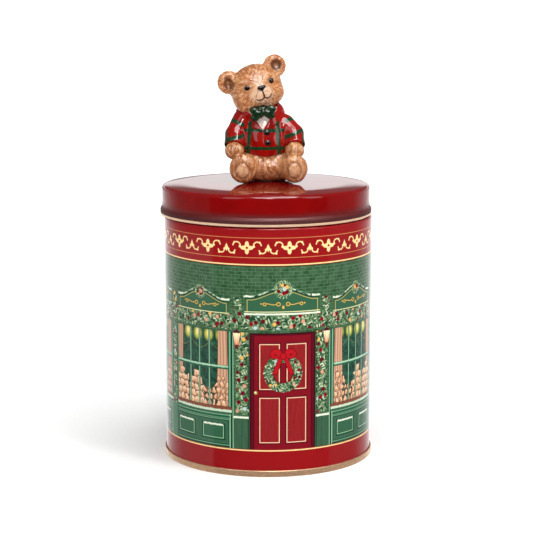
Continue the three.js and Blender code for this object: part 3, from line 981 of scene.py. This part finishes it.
def make_lid():
    """The lid, from the middle of its bent panel down to the hem inside its bead."""
    z = LID_TOP_Z - SHEET / 2
    bend_drop = PANEL_BEND_R * (1 - math.cos(math.radians(PANEL_BEND)))
    corner_z = z - bend_drop - LID_CORNER_R * math.cos(math.radians(PANEL_BEND))
    flare_r = (LID_BEAD_R - SHEET_R) / (1 - math.cos(math.radians(LID_FLARE))) / 2
    bead_z = LID_BEAD_TOP_Z - 2 * flare_r * math.sin(math.radians(LID_FLARE))
    line = [
        (0, z), (30, z),
        *arc(PANEL_FLAT_R, z - PANEL_BEND_R, PANEL_BEND_R, 90, 90 - PANEL_BEND, 8),
        *arc(SHEET_R - LID_CORNER_R, corner_z, LID_CORNER_R, 90 - PANEL_BEND, 0, 14)[1:],
        *arc(SHEET_R + flare_r, LID_BEAD_TOP_Z, flare_r, 180, 180 + LID_FLARE, 8),
        *arc(LID_BEAD_R - flare_r, bead_z, flare_r, LID_FLARE, 0, 8)[1:],
        *arc(LID_BEAD_R - LID_HEM_R, LID_BEAD_LOW_Z, LID_HEM_R, 0, -180, 12),
        (LID_BEAD_R - 2 * LID_HEM_R, LID_BEAD_LOW_Z + LID_HEM_REACH),
    ]
    inside, outside = sheet_sides(line)
    cut = next(i for i, (r, height) in enumerate(outside)
               if r > LID_BEAD_R and height < GOLD_HEM_Z)
    outside.insert(cut, (LID_BEAD_R + SHEET / 2, GOLD_HEM_Z))

    red, gold, hem = range(3)

    def paint(r, height, angle, index):
        if index >= len(outside) - 1:
            return gold
        return hem if height < GOLD_HEM_Z else red

    mesh = turned_mesh("lid", outside + inside[::-1], False, EVEN_ANGLES, paint, LID_X)
    place_piece("lid", mesh, [lacquer_red(), GOLD_LACQUER, GOLD_HEM], "lid",
                "red_lacquered_tinplate", "lid_shell")


# ------------------------------------------------------------------ sculpting

# A shape is a function that gives the distance from points to a surface, negative inside.

def egg(centre, radii):
    """An ellipsoid; its distance is close to true near the surface."""
    centre, radii = np.array(centre), np.array(radii)

    def distance(p):
        scaled = (p - centre) / radii
        near = np.linalg.norm(scaled, axis=1)
        return near * (near - 1) / (np.linalg.norm(scaled / radii, axis=1) + 1e-9)
    return distance


def limb(start, stop, start_r, stop_r):
    """A round bar with a radius at each end."""
    start, stop = np.array(start), np.array(stop)
    way = stop - start

    def distance(p):
        share = np.clip((p - start) @ way / (way @ way), 0, 1)
        nearest = start + share[:, None] * way
        return np.linalg.norm(p - nearest, axis=1) - (start_r + share * (stop_r - start_r))
    return distance


def half_space(point, outward):
    """Everything behind a plane through a point."""
    outward = np.array(outward) / np.linalg.norm(outward)
    return lambda p: (p - np.array(point)) @ outward


def soft_min(a, b, softness):
    """The smaller of two, rounded where they are closer than the softness."""
    overlap = np.maximum(softness - np.abs(a - b), 0) / softness
    return np.minimum(a, b) - overlap * overlap * softness / 4


def joined(softness, *shapes):
    """Shapes run together, with their joints rounded over the softness."""
    def distance(p):
        result = shapes[0](p)
        for shape in shapes[1:]:
            result = soft_min(result, shape(p), softness)
        return result
    return distance


def trimmed(shape, softness, *cutters):
    """The part of a shape that lies inside every cutter."""
    def distance(p):
        result = shape(p)
        for cutter in cutters:
            result = -soft_min(-result, -cutter(p), softness)
        return result
    return distance


def hollowed(shape, softness, tool):
    """A shape with a tool's shape taken out of it."""
    return lambda p: -soft_min(-shape(p), tool(p), softness)


def slopes(shape, points):
    """How fast the distance grows along each axis."""
    step = 0.02
    return np.stack([(shape(points + step * axis) - shape(points - step * axis)) / (2 * step)
                     for axis in np.eye(3)], axis=1)


def settle(shape, points, rounds=3):
    """Moves points onto a shape's surface."""
    for _ in range(rounds):
        slope = slopes(shape, points)
        size = np.maximum((slope * slope).sum(axis=1), 0.2)
        move = np.clip(shape(points) / size, -0.6, 0.6)
        points = points - move[:, None] * slope
    return points


def directions(shape, points):
    """Unit vectors out of the surface."""
    slope = slopes(shape, points)
    return slope / np.maximum(np.linalg.norm(slope, axis=1), 1e-6)[:, None]


def surface_net(shape, low, high, step):
    """Points and quads on a shape's surface, one point for each grid cell that it crosses."""
    axes = [np.arange(a, b + step, step) for a, b in zip(low, high)]
    grid = np.stack(np.meshgrid(*axes, indexing="ij"), axis=-1)
    inside = (shape(grid.reshape(-1, 3)) < 0).reshape(grid.shape[:3])
    corners = sum(inside[i:i - 1 or None, j:j - 1 or None, k:k - 1 or None].astype(int)
                  for i in (0, 1) for j in (0, 1) for k in (0, 1))
    crossed = (corners > 0) & (corners < 8)
    number = np.full(crossed.shape, -1)
    number[crossed] = np.arange(crossed.sum())
    points = grid[:-1, :-1, :-1][crossed] + step / 2
    quads = []
    for axis in range(3):
        turned = np.moveaxis(inside, axis, 0)
        cells = np.moveaxis(number, axis, 0)
        inner = turned[:, 1:-1, 1:-1]
        for here, there, order in ((inner[:-1], inner[1:], 1), (inner[1:], inner[:-1], -1)):
            found = here & ~there
            around = [cells[:, :-1, :-1][found], cells[:, 1:, :-1][found],
                      cells[:, 1:, 1:][found], cells[:, :-1, 1:][found]]
            # Swapping two axes for the middle one turns the faces over.
            quads.append(np.stack(around[::order * (-1 if axis == 1 else 1)], axis=1))
    return points, np.concatenate(quads)


def sculpt(shape, low, high, step, rounds=3):
    """A smooth, even mesh on a shape's surface, from a grid between two corners: its points,
    its quads, and the directions out of the surface."""
    points, quads = surface_net(shape, low, high, step)
    points = settle(shape, points)
    a, b = neighbours(quads, diagonals=False)
    count = np.bincount(a, minlength=len(points))
    for _ in range(rounds):
        mean = np.stack([np.bincount(a, points[b, i], len(points)) for i in range(3)], axis=1)
        points = points + 0.5 * (mean / count[:, None] - points)
        points = settle(shape, points, 2)
    return points, quads, directions(shape, points)


def neighbours(quads, diagonals=True):
    """Each pair of points that share an edge, or a quad, both ways round."""
    steps = [(0, 1), (1, 2), (2, 3), (3, 0)] + ([(0, 2), (1, 3)] if diagonals else [])
    pairs = np.concatenate([quads[:, list(step)] for step in steps])
    pairs = np.unique(np.sort(pairs, axis=1), axis=0)
    return np.concatenate([pairs[:, 0], pairs[:, 1]]), np.concatenate([pairs[:, 1], pairs[:, 0]])


def combed(points, quads, flow, seed, length=9):
    """Random strokes along the flow, one value for each point, mostly from -1.5 to 1.5."""
    a, b = neighbours(quads)
    way = points[b] - points[a]
    way /= np.linalg.norm(way, axis=1)[:, None]
    flow = flow / np.maximum(np.linalg.norm(flow, axis=1), 1e-6)[:, None]
    weight = np.abs((way * flow[a]).sum(axis=1)) ** 8
    total = 1 + np.bincount(a, weight, len(points))
    value = np.random.default_rng(seed).standard_normal(len(points))
    for _ in range(length):
        value = (value + np.bincount(a, weight * value[b], len(points))) / total
    count = np.bincount(a, minlength=len(points))
    value = 0.6 * value + 0.4 * np.bincount(a, value[b], len(points)) / count
    return np.clip((value - value.mean()) / value.std(), -1.8, 1.8)


def ease(value, low, high):
    """0 at low and 1 at high, with a smooth step between."""
    share = np.clip((value - low) / (high - low), 0, 1)
    return share * share * (3 - 2 * share)


def convex_distance(points, outline):
    """How far each point is outside a convex outline, in X and Z."""
    sides = list(zip(outline, outline[1:] + outline[:1]))
    if sum(x0 * z1 - x1 * z0 for (x0, z0), (x1, z1) in sides) < 0:
        return convex_distance(points, outline[::-1])
    result = np.full(len(points), -1e9)
    for (x0, z0), (x1, z1) in sides:
        length = math.hypot(x1 - x0, z1 - z0)
        out = ((points[:, 0] - x0) * (z1 - z0) - (points[:, 2] - z0) * (x1 - x0)) / length
        result = np.maximum(result, out)
    return result


def glazed_piece(name, points, faces, material, **values):
    """A piece on the lid, from points in millimetres from the middle of its panel. values are
    numbers at the points, for its material."""
    mesh = bpy.data.meshes.new(name)
    place = points + np.array([LID_X, 0, LID_TOP_Z])
    mesh.from_pydata((place * MM).tolist(), [], [list(map(int, face)) for face in faces])
    for key, value in values.items():
        mesh.attributes.new(key, "FLOAT", "POINT").data.foreach_set("value", value)
    mesh.shade_smooth()
    return place_piece(name, mesh, [material], "lid", "glazed_ceramic")


# ------------------------------------------------------------------ the bear

# Its shapes are in millimetres from the middle of the lid's panel, and it faces -Y.
HEAD_CENTRE = np.array([-6.2, 7.0, 58.3])
HEAD_ROLL, HEAD_YAW = math.radians(17), math.radians(11)
HEAD_TURN = np.array(Matrix.Rotation(-HEAD_ROLL, 3, "Y") @ Matrix.Rotation(HEAD_YAW, 3, "Z"))
EAR_R = 7.2
EARS = (((-15.3, 8.1), (-16.1, 7.6), (3.0, 4.4)), ((15.4, 9.4), (16.2, 9.9), (3.7, 3.6)))
EYES, EYE_Z, EYE_R = {-1: -7.5, 1: 8.3}, 2.0, 1.65
SOLES = ((-14.1, 9.6), (18.0, 9.6))
SOLE_WIDTHS = (8.3, 7.7)
ARM_SHIFT = -0.8
HEM_Z = 16.3
V_FOOT = (-1.7, 32.8)
V_SLOPES = (0.80, 0.63)
LAPELS = (
    [(-13.6, 46.0), (-12.9, 38.5), (-10.2, 34.4), (-1.9, 31.8), (-5.4, 37.5), (-8.6, 46.5)],
    [(6.0, 48.5), (1.9, 38.5), (-1.5, 31.8), (7.6, 36.6), (11.7, 41.6), (11.2, 48.5)],
)
BUTTONS = ((0.7, 31.2), (1.2, 24.8))
BOW_LOBES = (((-7.2, 45.0), (-7.0, 40.2), (-4.8, 42.8)), ((3.4, 46.1), (3.0, 41.8), (1.2, 43.8)))
EYE_PROFILE = ((1.0, -0.5), (1.03, 0.1), (0.97, 0.26), (0.84, 0.38), (0.64, 0.47), (0.4, 0.53),
               (0.16, 0.55))
BUTTON_PROFILE = ((0.9, -0.3), (1.0, 0.1), (0.98, 0.24), (0.9, 0.3), (0.84, 0.28), (0.78, 0.34),
                  (0.62, 0.43), (0.42, 0.5), (0.2, 0.54))
BUTTON_R = 1.9
PAW_X = 18.7


def on_head(points):
    """From the head's own frame to the bear's."""
    return points @ HEAD_TURN.T + HEAD_CENTRE


def head_shape():
    """Skull, cheeks and muzzle, with bowled ears and shallow eye sockets, in the head's frame."""
    skull = joined(
        3.0,
        egg((0, 0, 0), (16.4, 14.4, 14.8)),
        egg((-8.2, -3, -6.2), (8.0, 9, 7.2)),
        egg((7.6, -3, -6.0), (8.0, 9, 7.0)),
        egg((0, -9.8, -4.2), (8.4, 7.4, 6.3)),
    )
    for side, ((x, z), (bowl_x, bowl_z), (bowl_w, bowl_h)) in zip((-1, 1), EARS):
        ear = hollowed(egg((x, 1, z), (EAR_R, 3.7, EAR_R)), 1.6,
                       egg((bowl_x, -3.4, bowl_z), (bowl_w, 3.4, bowl_h)))
        skull = joined(1.6, skull, ear)
        skull = hollowed(skull, 1.4, egg((EYES[side], -14.2, EYE_Z), (2.4, 1.5, 2.5)))
    return skull


def front_of(shape, x, z, start=-30.0):
    """Points where lines from the front first meet a shape."""
    points = np.stack([np.asarray(x, float), np.full(len(x), start), np.asarray(z, float)], axis=1)
    for _ in range(60):
        points[:, 1] += shape(points) * 0.8
    return points


def make_head(fur, black, brown):
    """The head with its nose, eyes and mouth."""
    shape = head_shape()
    points, quads, normals = sculpt(shape, (-26, -20, -17), (26, 17, 20), 0.4)
    x, y, z = points.T
    # The strokes run away from the nose.
    away = points - np.array([0, -17, -1.0])
    across = away - (away * normals).sum(axis=1)[:, None] * normals
    across[:, 2] -= 3.0
    stroke = combed(points, quads, across, 11, 6)
    muzzle = ease(-egg((0, -13.6, -4.4), (8.2, 8.0, 6.4))(points), -0.4, 2.2)
    bridge = ease(-egg((0, -14.4, 3.4), (3.2, 5.0, 5.0))(points), -0.4, 1.6)
    # The ear bowls: the strokes are lower there, and the glaze is darkened with painted shade
    # through the dark value.
    bowl = np.zeros(len(points))
    for depth, (_, (bowl_x, bowl_z), (wide, tall)) in zip((0.85, 1.0), EARS):
        out = np.hypot((x - bowl_x) / wide, (z - bowl_z) / tall)
        inner = (1 - ease(out, 0.75, 1.2)) * ease(y, 0.5, -0.5)
        bowl = np.maximum(bowl, depth * inner)
    height = 0.1 * stroke * (1 - 0.5 * muzzle) * (1 - 0.6 * bowl)
    points = points + height[:, None] * normals
    pale = np.clip(muzzle + 0.8 * bridge, 0, 1)
    glazed_piece("bear_head", on_head(points), quads, fur, stroke=stroke, pale=pale, dark=bowl)

    tip = joined(1.2, egg((-0.8, -17.25, 0.2), (1.5, 1.3, 1.1)),
                 egg((1.7, -17.25, 0.2), (1.5, 1.3, 1.1)),
                 egg((0.45, -17.25, -0.8), (1.3, 1.2, 1.2)))
    points, quads, _ = sculpt(tip, (-4, -20, -4), (4, -14, 3), 0.2)
    glazed_piece("bear_nose", on_head(points), quads, black)
    for name, side in (("bear_eye_left", -1), ("bear_eye_right", 1)):
        dome(name, shape, EYES[side], EYE_Z, EYE_R, black, EYE_PROFILE, HEAD_TURN, HEAD_CENTRE)
    lip = [(0.5, -1.6), (0.55, -3.2), (0.6, -4.8), (0.65, -6.1)]
    right = [(0.65, -6.1), (1.7, -7.1), (3.1, -7.25), (4.6, -6.6), (5.7, -5.3)]
    left = [(0.65, -6.1), (-0.5, -6.9), (-2.0, -7.2), (-3.5, -6.9), (-4.6, -6.2)]
    for name, line in (("bear_mouth_middle", lip), ("bear_mouth_right", right),
                       ("bear_mouth_left", left)):
        brush_line(name, shape, line, 0.44, brown)


def ring_faces(rings, count):
    """Quads between rings of count points that run anticlockwise, and the two ends."""
    faces = [(i * count + j, i * count + (j + 1) % count,
              (i + 1) * count + (j + 1) % count, (i + 1) * count + j)
             for i in range(rings - 1) for j in range(count)]
    last = range((rings - 1) * count, rings * count)
    return faces + [tuple(last), tuple(range(count))[::-1]]


def dome(name, shape, x, z, radius, material, profile, turn=np.eye(3), shift=np.zeros(3)):
    """A turned knob on the front of a shape, which is then turned and shifted. The profile is
    in radii, outwards and up."""
    point = front_of(shape, [x], [z])
    centre = point[0] @ turn.T + shift
    normal = directions(shape, point)[0] @ turn.T
    normal /= np.linalg.norm(normal)
    side = np.cross(normal, (0, 0, 1.0))
    side /= np.linalg.norm(side)
    other = np.cross(normal, side)
    count = 32
    angles = [2 * math.pi * step / count for step in range(count)]
    points = [centre + radius * (out * (math.cos(a) * side + math.sin(a) * other) + up * normal)
              for out, up in profile for a in angles]
    glazed_piece(name, np.array(points), ring_faces(len(profile), count), material)


def brush_line(name, shape, line, radius, material):
    """A raised painted line on the face, along a smooth curve through points in X and Z."""
    line = np.array(line, float)
    ends = np.concatenate([2 * line[:1] - line[1:2], line, 2 * line[-1:] - line[-2:-1]])
    route = []
    for i in range(1, len(ends) - 2):
        for t in np.linspace(0, 1, 10, endpoint=False):
            a, b, c, d = ends[i - 1:i + 3]
            route.append(0.5 * (2 * b + (c - a) * t + (2 * a - 5 * b + 4 * c - d) * t * t
                                + (3 * b - a - 3 * c + d) * t ** 3))
    route = np.array(route + [line[-1]])
    middle = front_of(shape, route[:, 0], route[:, 1])
    normals = directions(shape, middle)
    along = np.gradient(middle, axis=0)
    along /= np.linalg.norm(along, axis=1)[:, None]
    across = np.cross(along, normals)
    sides = 10
    share = np.linspace(0, 1, len(middle))
    width = radius * np.clip(np.minimum(share, 1 - share) * 8 + 0.45, 0, 1)
    rings = [middle + width[:, None] * (math.cos(t) * across + (math.sin(t) * 0.8 + 0.2) * normals)
             for t in np.linspace(0, 2 * math.pi, sides, endpoint=False)]
    points = np.stack(rings, axis=1).reshape(-1, 3)
    faces = [face[::-1] for face in ring_faces(len(middle), sides)]
    glazed_piece(name, on_head(points), faces, material)


def make_lower_body(fur):
    """Seat, legs and paws, in one fur."""
    parts = [egg((1, 7.5, 8.4), (19, 14, 9.6)), egg((-0.8, 9.5, 17), (16.0, 14.0, 12.0))]
    for side, (sole_x, sole_z), wide in zip((-1, 1), SOLES, SOLE_WIDTHS):
        hip = (side * 9.0 + 1.6, 9, 9.8)
        ankle = (sole_x - side * 0.6, -9.5, sole_z - 0.6)
        foot = trimmed(egg((sole_x, -11.2, sole_z), (wide, 6.6, 8.9)), 2.0,
                       half_space((sole_x, -16.0, sole_z), (side * 0.12, -1, 0)))
        parts += [limb(hip, ankle, 9.0, wide - 1.0), foot]
    shape = joined(3.0, *parts)
    for side in (-1, 1):
        paw = egg((side * PAW_X + ARM_SHIFT, -4.8, 20), (6.0, 6.4, 5.4))
        shape = joined(0.9, shape, paw)
    shape = trimmed(shape, 0.8, half_space((0, 0, 0.15), (0, 0, -1)))
    points, quads, normals = sculpt(shape, (-31, -19, -1), (31, 27, 29), 0.42)
    x, y, z = points.T
    # The strokes run down and forwards, and swirl from side to side.
    down = np.array([0.15, -0.35, -1.0])
    flow = down - (normals @ down)[:, None] * normals
    swirl = np.sin(x * 0.45) * 0.5
    flow = flow + swirl[:, None] * np.cross(normals, flow)
    stroke = combed(points, quads, flow, 12)
    height = 0.11 * stroke
    pale = np.zeros(len(points))
    dark = np.zeros(len(points))
    facing = ease(normals[:, 1], -0.5, -0.9)
    # Each sole has a raised pad inside a groove; the groove is darkened with painted shade through
    # the dark value.
    for (sole_x, sole_z), side in zip(SOLES, (-1, 1)):
        near = np.hypot((x - sole_x + 0.5) / 0.9, z - sole_z + 1.0)
        pad = (1 - ease(near, 3.6, 4.4)) * facing
        groove = np.exp(-((near - 4.9) / 0.8) ** 2) * facing
        height = height * (1 - 0.7 * pad) + 0.15 * pad - 0.4 * groove
        pale = np.maximum(pale, 0.3 * pad)
        dark = np.maximum(dark, 0.5 * groove)
        # Toes are short grooves over the sole's top edge, fingers run down the paw's front; both
        # are darkened with painted shade.
        toes = ease(z, sole_z + 5.6, sole_z + 6.6) * ease(y, -9.5, -12.0)
        fingers = ease(y, -7.5, -9.5) * ease(z, 17.8, 19.0) * ease(z, 23.6, 22.4)
        for middle, pitch, width, depth, ink, reach in (
                (sole_x + side * 3.4, 1.7, 0.32, 0.4, 0.65, toes),
                (side * PAW_X + ARM_SHIFT, 2.5, 0.35, 0.5, 0.6, fingers)):
            for step in (-1, 0, 1):
                out = x - (middle + step * pitch)
                line = np.exp(-(out / width) ** 2) * reach
                height = height - depth * line
                dark = np.maximum(dark, ink * line)
    points = points + height[:, None] * normals
    return glazed_piece("bear_body", points, quads, fur, stroke=stroke, pale=pale, dark=dark)


def jacket_shape():
    """A round trunk with a hem, and two bent sleeves."""
    trunk = joined(2.5, egg((-0.8, 10, 20), (16.8, 15.8, 31.5)),
                   egg((-3.2, 8.8, 43.6), (13.6, 12.8, 6.4)))

    def hem(p):
        return HEM_Z + 2.2 * ((p[:, 0] + 0.6) / 13) ** 2 - p[:, 2]
    trunk = trimmed(trunk, 0.9, hem)
    for side in (-1, 1):
        shoulder = np.array([side * 12.8 + ARM_SHIFT - 0.5, 7.5, 36.4 - side * 1.5])
        elbow = np.array([side * 18.0 + ARM_SHIFT, 3.6, 29.4])
        cuff = np.array([side * 18.8 + ARM_SHIFT, -1.2, 23.4])
        way = (cuff - elbow) / np.linalg.norm(cuff - elbow)
        sleeve = joined(1.0, limb(shoulder, elbow, 7.0, 6.5), limb(elbow, cuff + 5 * way, 6.5, 6.5))
        sleeve = trimmed(sleeve, 1.0, half_space(cuff + 1.2 * way, way))
        trunk = joined(2.4, trunk, sleeve)
    return trunk


def make_jacket(cloth, gloss):
    """The jacket with its lap, lapels and collar in relief, and its two buttons."""
    shape = jacket_shape()
    points, quads, normals = sculpt(shape, (-30, -10, 14), (28, 29, 53), 0.4)
    x, y, z = points.T
    front = ease(normals[:, 1], 0.1, -0.2)
    height = 0.12 * np.sin(z * 0.5 + x * 0.4) * np.sin(x * 0.3)
    # The right side laps over the left, and two lapels lie on both, open over the shirt.
    rise, out = z - V_FOOT[1], x - V_FOOT[0]
    from_lap = out + rise * 0.02
    lap = ease(from_lap, -0.35, 0.25) - ease(from_lap, 1.0, 5.0)
    height = height + 0.35 * front * ease(rise, 0.3, -0.3) * lap
    opening = np.maximum(-V_SLOPES[0] * rise - out, out - V_SLOPES[1] * rise) / 1.2
    height = height - 0.7 * front * (1 - ease(opening, -0.3, 0.3))
    for outline in LAPELS:
        height = height + 0.85 * front * (1 - ease(convex_distance(points, outline), -0.5, 0.35))
    # The collar runs round the back of the neck.
    collar_z = 41.0 + 2.6 * ease(y, 20.0, 6.0)
    height = height + 0.8 * ease(z, collar_z - 0.4, collar_z + 0.4) * (1 - front)
    glazed_piece("bear_jacket", points + height[:, None] * normals, quads, cloth)
    for number, place in enumerate(BUTTONS, 1):
        dome(f"bear_button_{number}", shape, *place, BUTTON_R, gloss, BUTTON_PROFILE)


def make_bow_tie(material):
    """Two wings of three lobes each, with folds that run out from a knot."""
    wings = [joined(1.0, egg((top_x, -6.4, top_z), (2.9, 2.1, 2.3)),
                    egg((low_x, -6.2, low_z), (2.6, 2.1, 2.1)),
                    egg((mid_x, -6.4, mid_z), (3.8, 2.3, 2.9)))
             for (top_x, top_z), (low_x, low_z), (mid_x, mid_z) in BOW_LOBES]
    shape = joined(0.5, *wings, egg((-1.6, -7.9, 44.0), (1.7, 1.7, 2.2)),
                   egg((-1.8, -4.4, 45.4), (4.5, 2.4, 2.6)))
    points, quads, normals = sculpt(shape, (-12, -10, 37), (9, -3, 51), 0.22)
    spread = np.abs(points[:, 0] + 1.6)
    turn = np.arctan2(points[:, 2] - 44.0, spread)
    folds = np.cos(turn * 7) * ease(spread, 1.6, 2.6) * ease(spread, 6.5, 3.5)
    glazed_piece("bear_bow_tie", points + 0.15 * folds[:, None] * normals, quads, material)


# ------------------------------------------------------------------ glazes

class Glaze(Paint):
    """Underglaze colours in millimetres from the middle of the lid's panel."""

    def __init__(self, name, ground):
        super().__init__(name, ground)
        self.x = self.x - LID_X
        self.z = self.z - LID_TOP_Z

    def value(self, name):
        node = self.node("ShaderNodeAttribute")
        node.attribute_name = name
        return Value(self.tree, node.outputs["Fac"])

    def glaze(self, roughness, bump, grain=0.9):
        gloss = self.noise(0.12, 2.0).op("MULTIPLY_ADD", 0.12, roughness - 0.04)
        return coat(self.material, self.color, gloss, self.noise(grain, 2.0), bump, 0.0004,
                    IOR=1.52)


def glaze_fur():
    """Brown in patches, paler on the muzzle, with dark and light strokes, and painted shade in the
    recesses.
    """
    pic = Glaze("glaze_fur", None)
    patches = pic.noise(0.16, 2.0)
    pic.color = pic.ramp(patches, (0.3, rgb(166, 98, 56)), (0.5, rgb(184, 122, 76)),
                         (0.7, rgb(198, 142, 96)))
    pic.lay(pic.value("pale") * 0.75, rgb(218, 182, 152))
    stroke = pic.value("stroke")
    fine = pic.noise(1.1, 3.0)
    depth = stroke * 0.9 + (fine - 0.5) * 6.5
    pic.lay(depth.smooth(-0.3, -1.6) * 0.7, rgb(128, 72, 42))
    pic.lay(depth.smooth(0.4, 1.6) * 0.65, rgb(224, 182, 144))
    # Painted shade in the ear bowls, in the grooves round the sole pads, and between toes and
    # fingers.
    pic.lay(pic.value("dark") * 0.9, rgb(80, 42, 26))
    return pic.glaze(0.13, 0.3)


def glaze_jacket():
    """Red with green bands that waver, over a pale shirt with a pink edge."""
    pic = Glaze("glaze_jacket", rgb(152, 14, 4))
    x, y, z = pic.x, pic.y, pic.z
    trunk = pic.fill(abs(x + 0.9) - 12.5, 0.3)
    shade = pic.noise(0.12, 2.0)
    pic.lay(shade.smooth(0.35, 0.7) * 0.5, rgb(124, 8, 6))
    wobble = pic.jitter(0.35, 2.0, 1.1)
    green, deep = rgb(26, 62, 34), rgb(12, 36, 22)
    for place in (-6.4, 3.4):
        pic.draw(x - place + wobble, 2.6, rgb(112, 6, 10), trunk * 0.5, edge=0.5)
    bands = []
    below_collar = pic.fill(z - 38.0, 0.4)
    for height in (21.3, 32.4):
        bands.append(pic.line(z - height + wobble * 0.6, 2.0, 0.3) * trunk)
    for place, lean in ((-10.5, 0.075), (7.8, -0.064)):
        bands.append(pic.line(x - place - (z - 26.0) * lean + wobble * 0.5, 2.4, 0.3)
                     * trunk * below_collar)
    sleeves = 1.0 - trunk
    left, right = x.op("LESS_THAN", 0.0), x.op("GREATER_THAN", 0.0)
    for side, foot, slope in ((left, 31.9, 0.21), (left, 30.2, -0.39), (right, 23.3, 0.4),
                              (right, 34.4, 0.3)):
        bands.append(pic.line(z - foot - x * slope + wobble * 0.6, 2.5, 0.4) * sleeves * side)
    bands.append(pic.line(abs(x + 0.8) - 24.2 + wobble * 0.5, 1.7, 0.3) * sleeves)
    for band in bands:
        pic.lay(band, green)
    for band in bands:
        pic.lay(pic.noise(0.9, 1.0).smooth(0.48, 0.62) * band * 0.7, deep)
    rise, out = z - V_FOOT[1], x - V_FOOT[0]
    opening = (-V_SLOPES[0] * rise - out).most(out - V_SLOPES[1] * rise)
    front = pic.fill(y - 2.0, 0.3)
    pic.area(opening * 0.83 + 0.15, rgb(224, 214, 202), front)
    pic.draw(opening * 0.83, 0.3, rgb(228, 150, 140), front)
    return pic.glaze(0.055, 0.05, 0.3)


def glaze_bow():
    """Dark green, speckled lighter and darker."""
    pic = Glaze("glaze_bow", rgb(18, 42, 22))
    speckle = pic.noise(1.3, 2.0)
    pic.lay(speckle.smooth(0.54, 0.7) * 0.6, rgb(38, 78, 42))
    pic.lay(pic.noise(1.0, 1.0).smooth(0.55, 0.7) * 0.7, rgb(10, 26, 14))
    return pic.glaze(0.12, 0.25)


def glaze_dark(name, ink, tint):
    """A thick, glossy dark with a little of a second tint."""
    pic = Glaze(name, ink)
    pic.lay(pic.noise(0.8, 2.0).smooth(0.45, 0.7) * 0.6, tint)
    return pic.glaze(0.05, 0.012)


def make_bear():
    fur = glaze_fur()
    black = glaze_dark("glaze_black", rgb(14, 11, 11), rgb(36, 26, 22))
    brown = glaze_dark("glaze_brown", rgb(58, 30, 24), rgb(84, 46, 34))
    body = make_lower_body(fur)
    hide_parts("bear_figurine")
    make_head(fur, black, brown)
    make_jacket(glaze_jacket(), black)
    make_bow_tie(glaze_bow())


# ------------------------------------------------------------------ hidden fixings

def finish_fixings():
    """Finishes for the small parts that keep their CAD shapes."""
    rubber = surface("black_rubber", rgb(44, 42, 40), rgb(58, 55, 52), 0.6, blotch=200.0, bump=0.5)
    brass = surface("brass", rgb(206, 170, 96), rgb(182, 142, 74), 0.3, 1.0, (8.0, 8.0, 200.0),
                    200.0, 0.2)
    zinc = surface("zinc_plated_steel", rgb(196, 200, 204), rgb(168, 172, 180), 0.34, 1.0,
                   (60.0, 60.0, 60.0), 250.0, 0.15)
    for node, material in (("bear_pad", rubber), ("bear_plug", brass), ("lid_screw", zinc),
                           ("lid_washer", zinc)):
        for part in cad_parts[node].material_slots:
            part.material = material


# ------------------------------------------------------------------ build

add_camera()
add_stage()
add_world()
add_lamps()
make_can()
make_base()
make_lid()
make_bear()
finish_fixings()
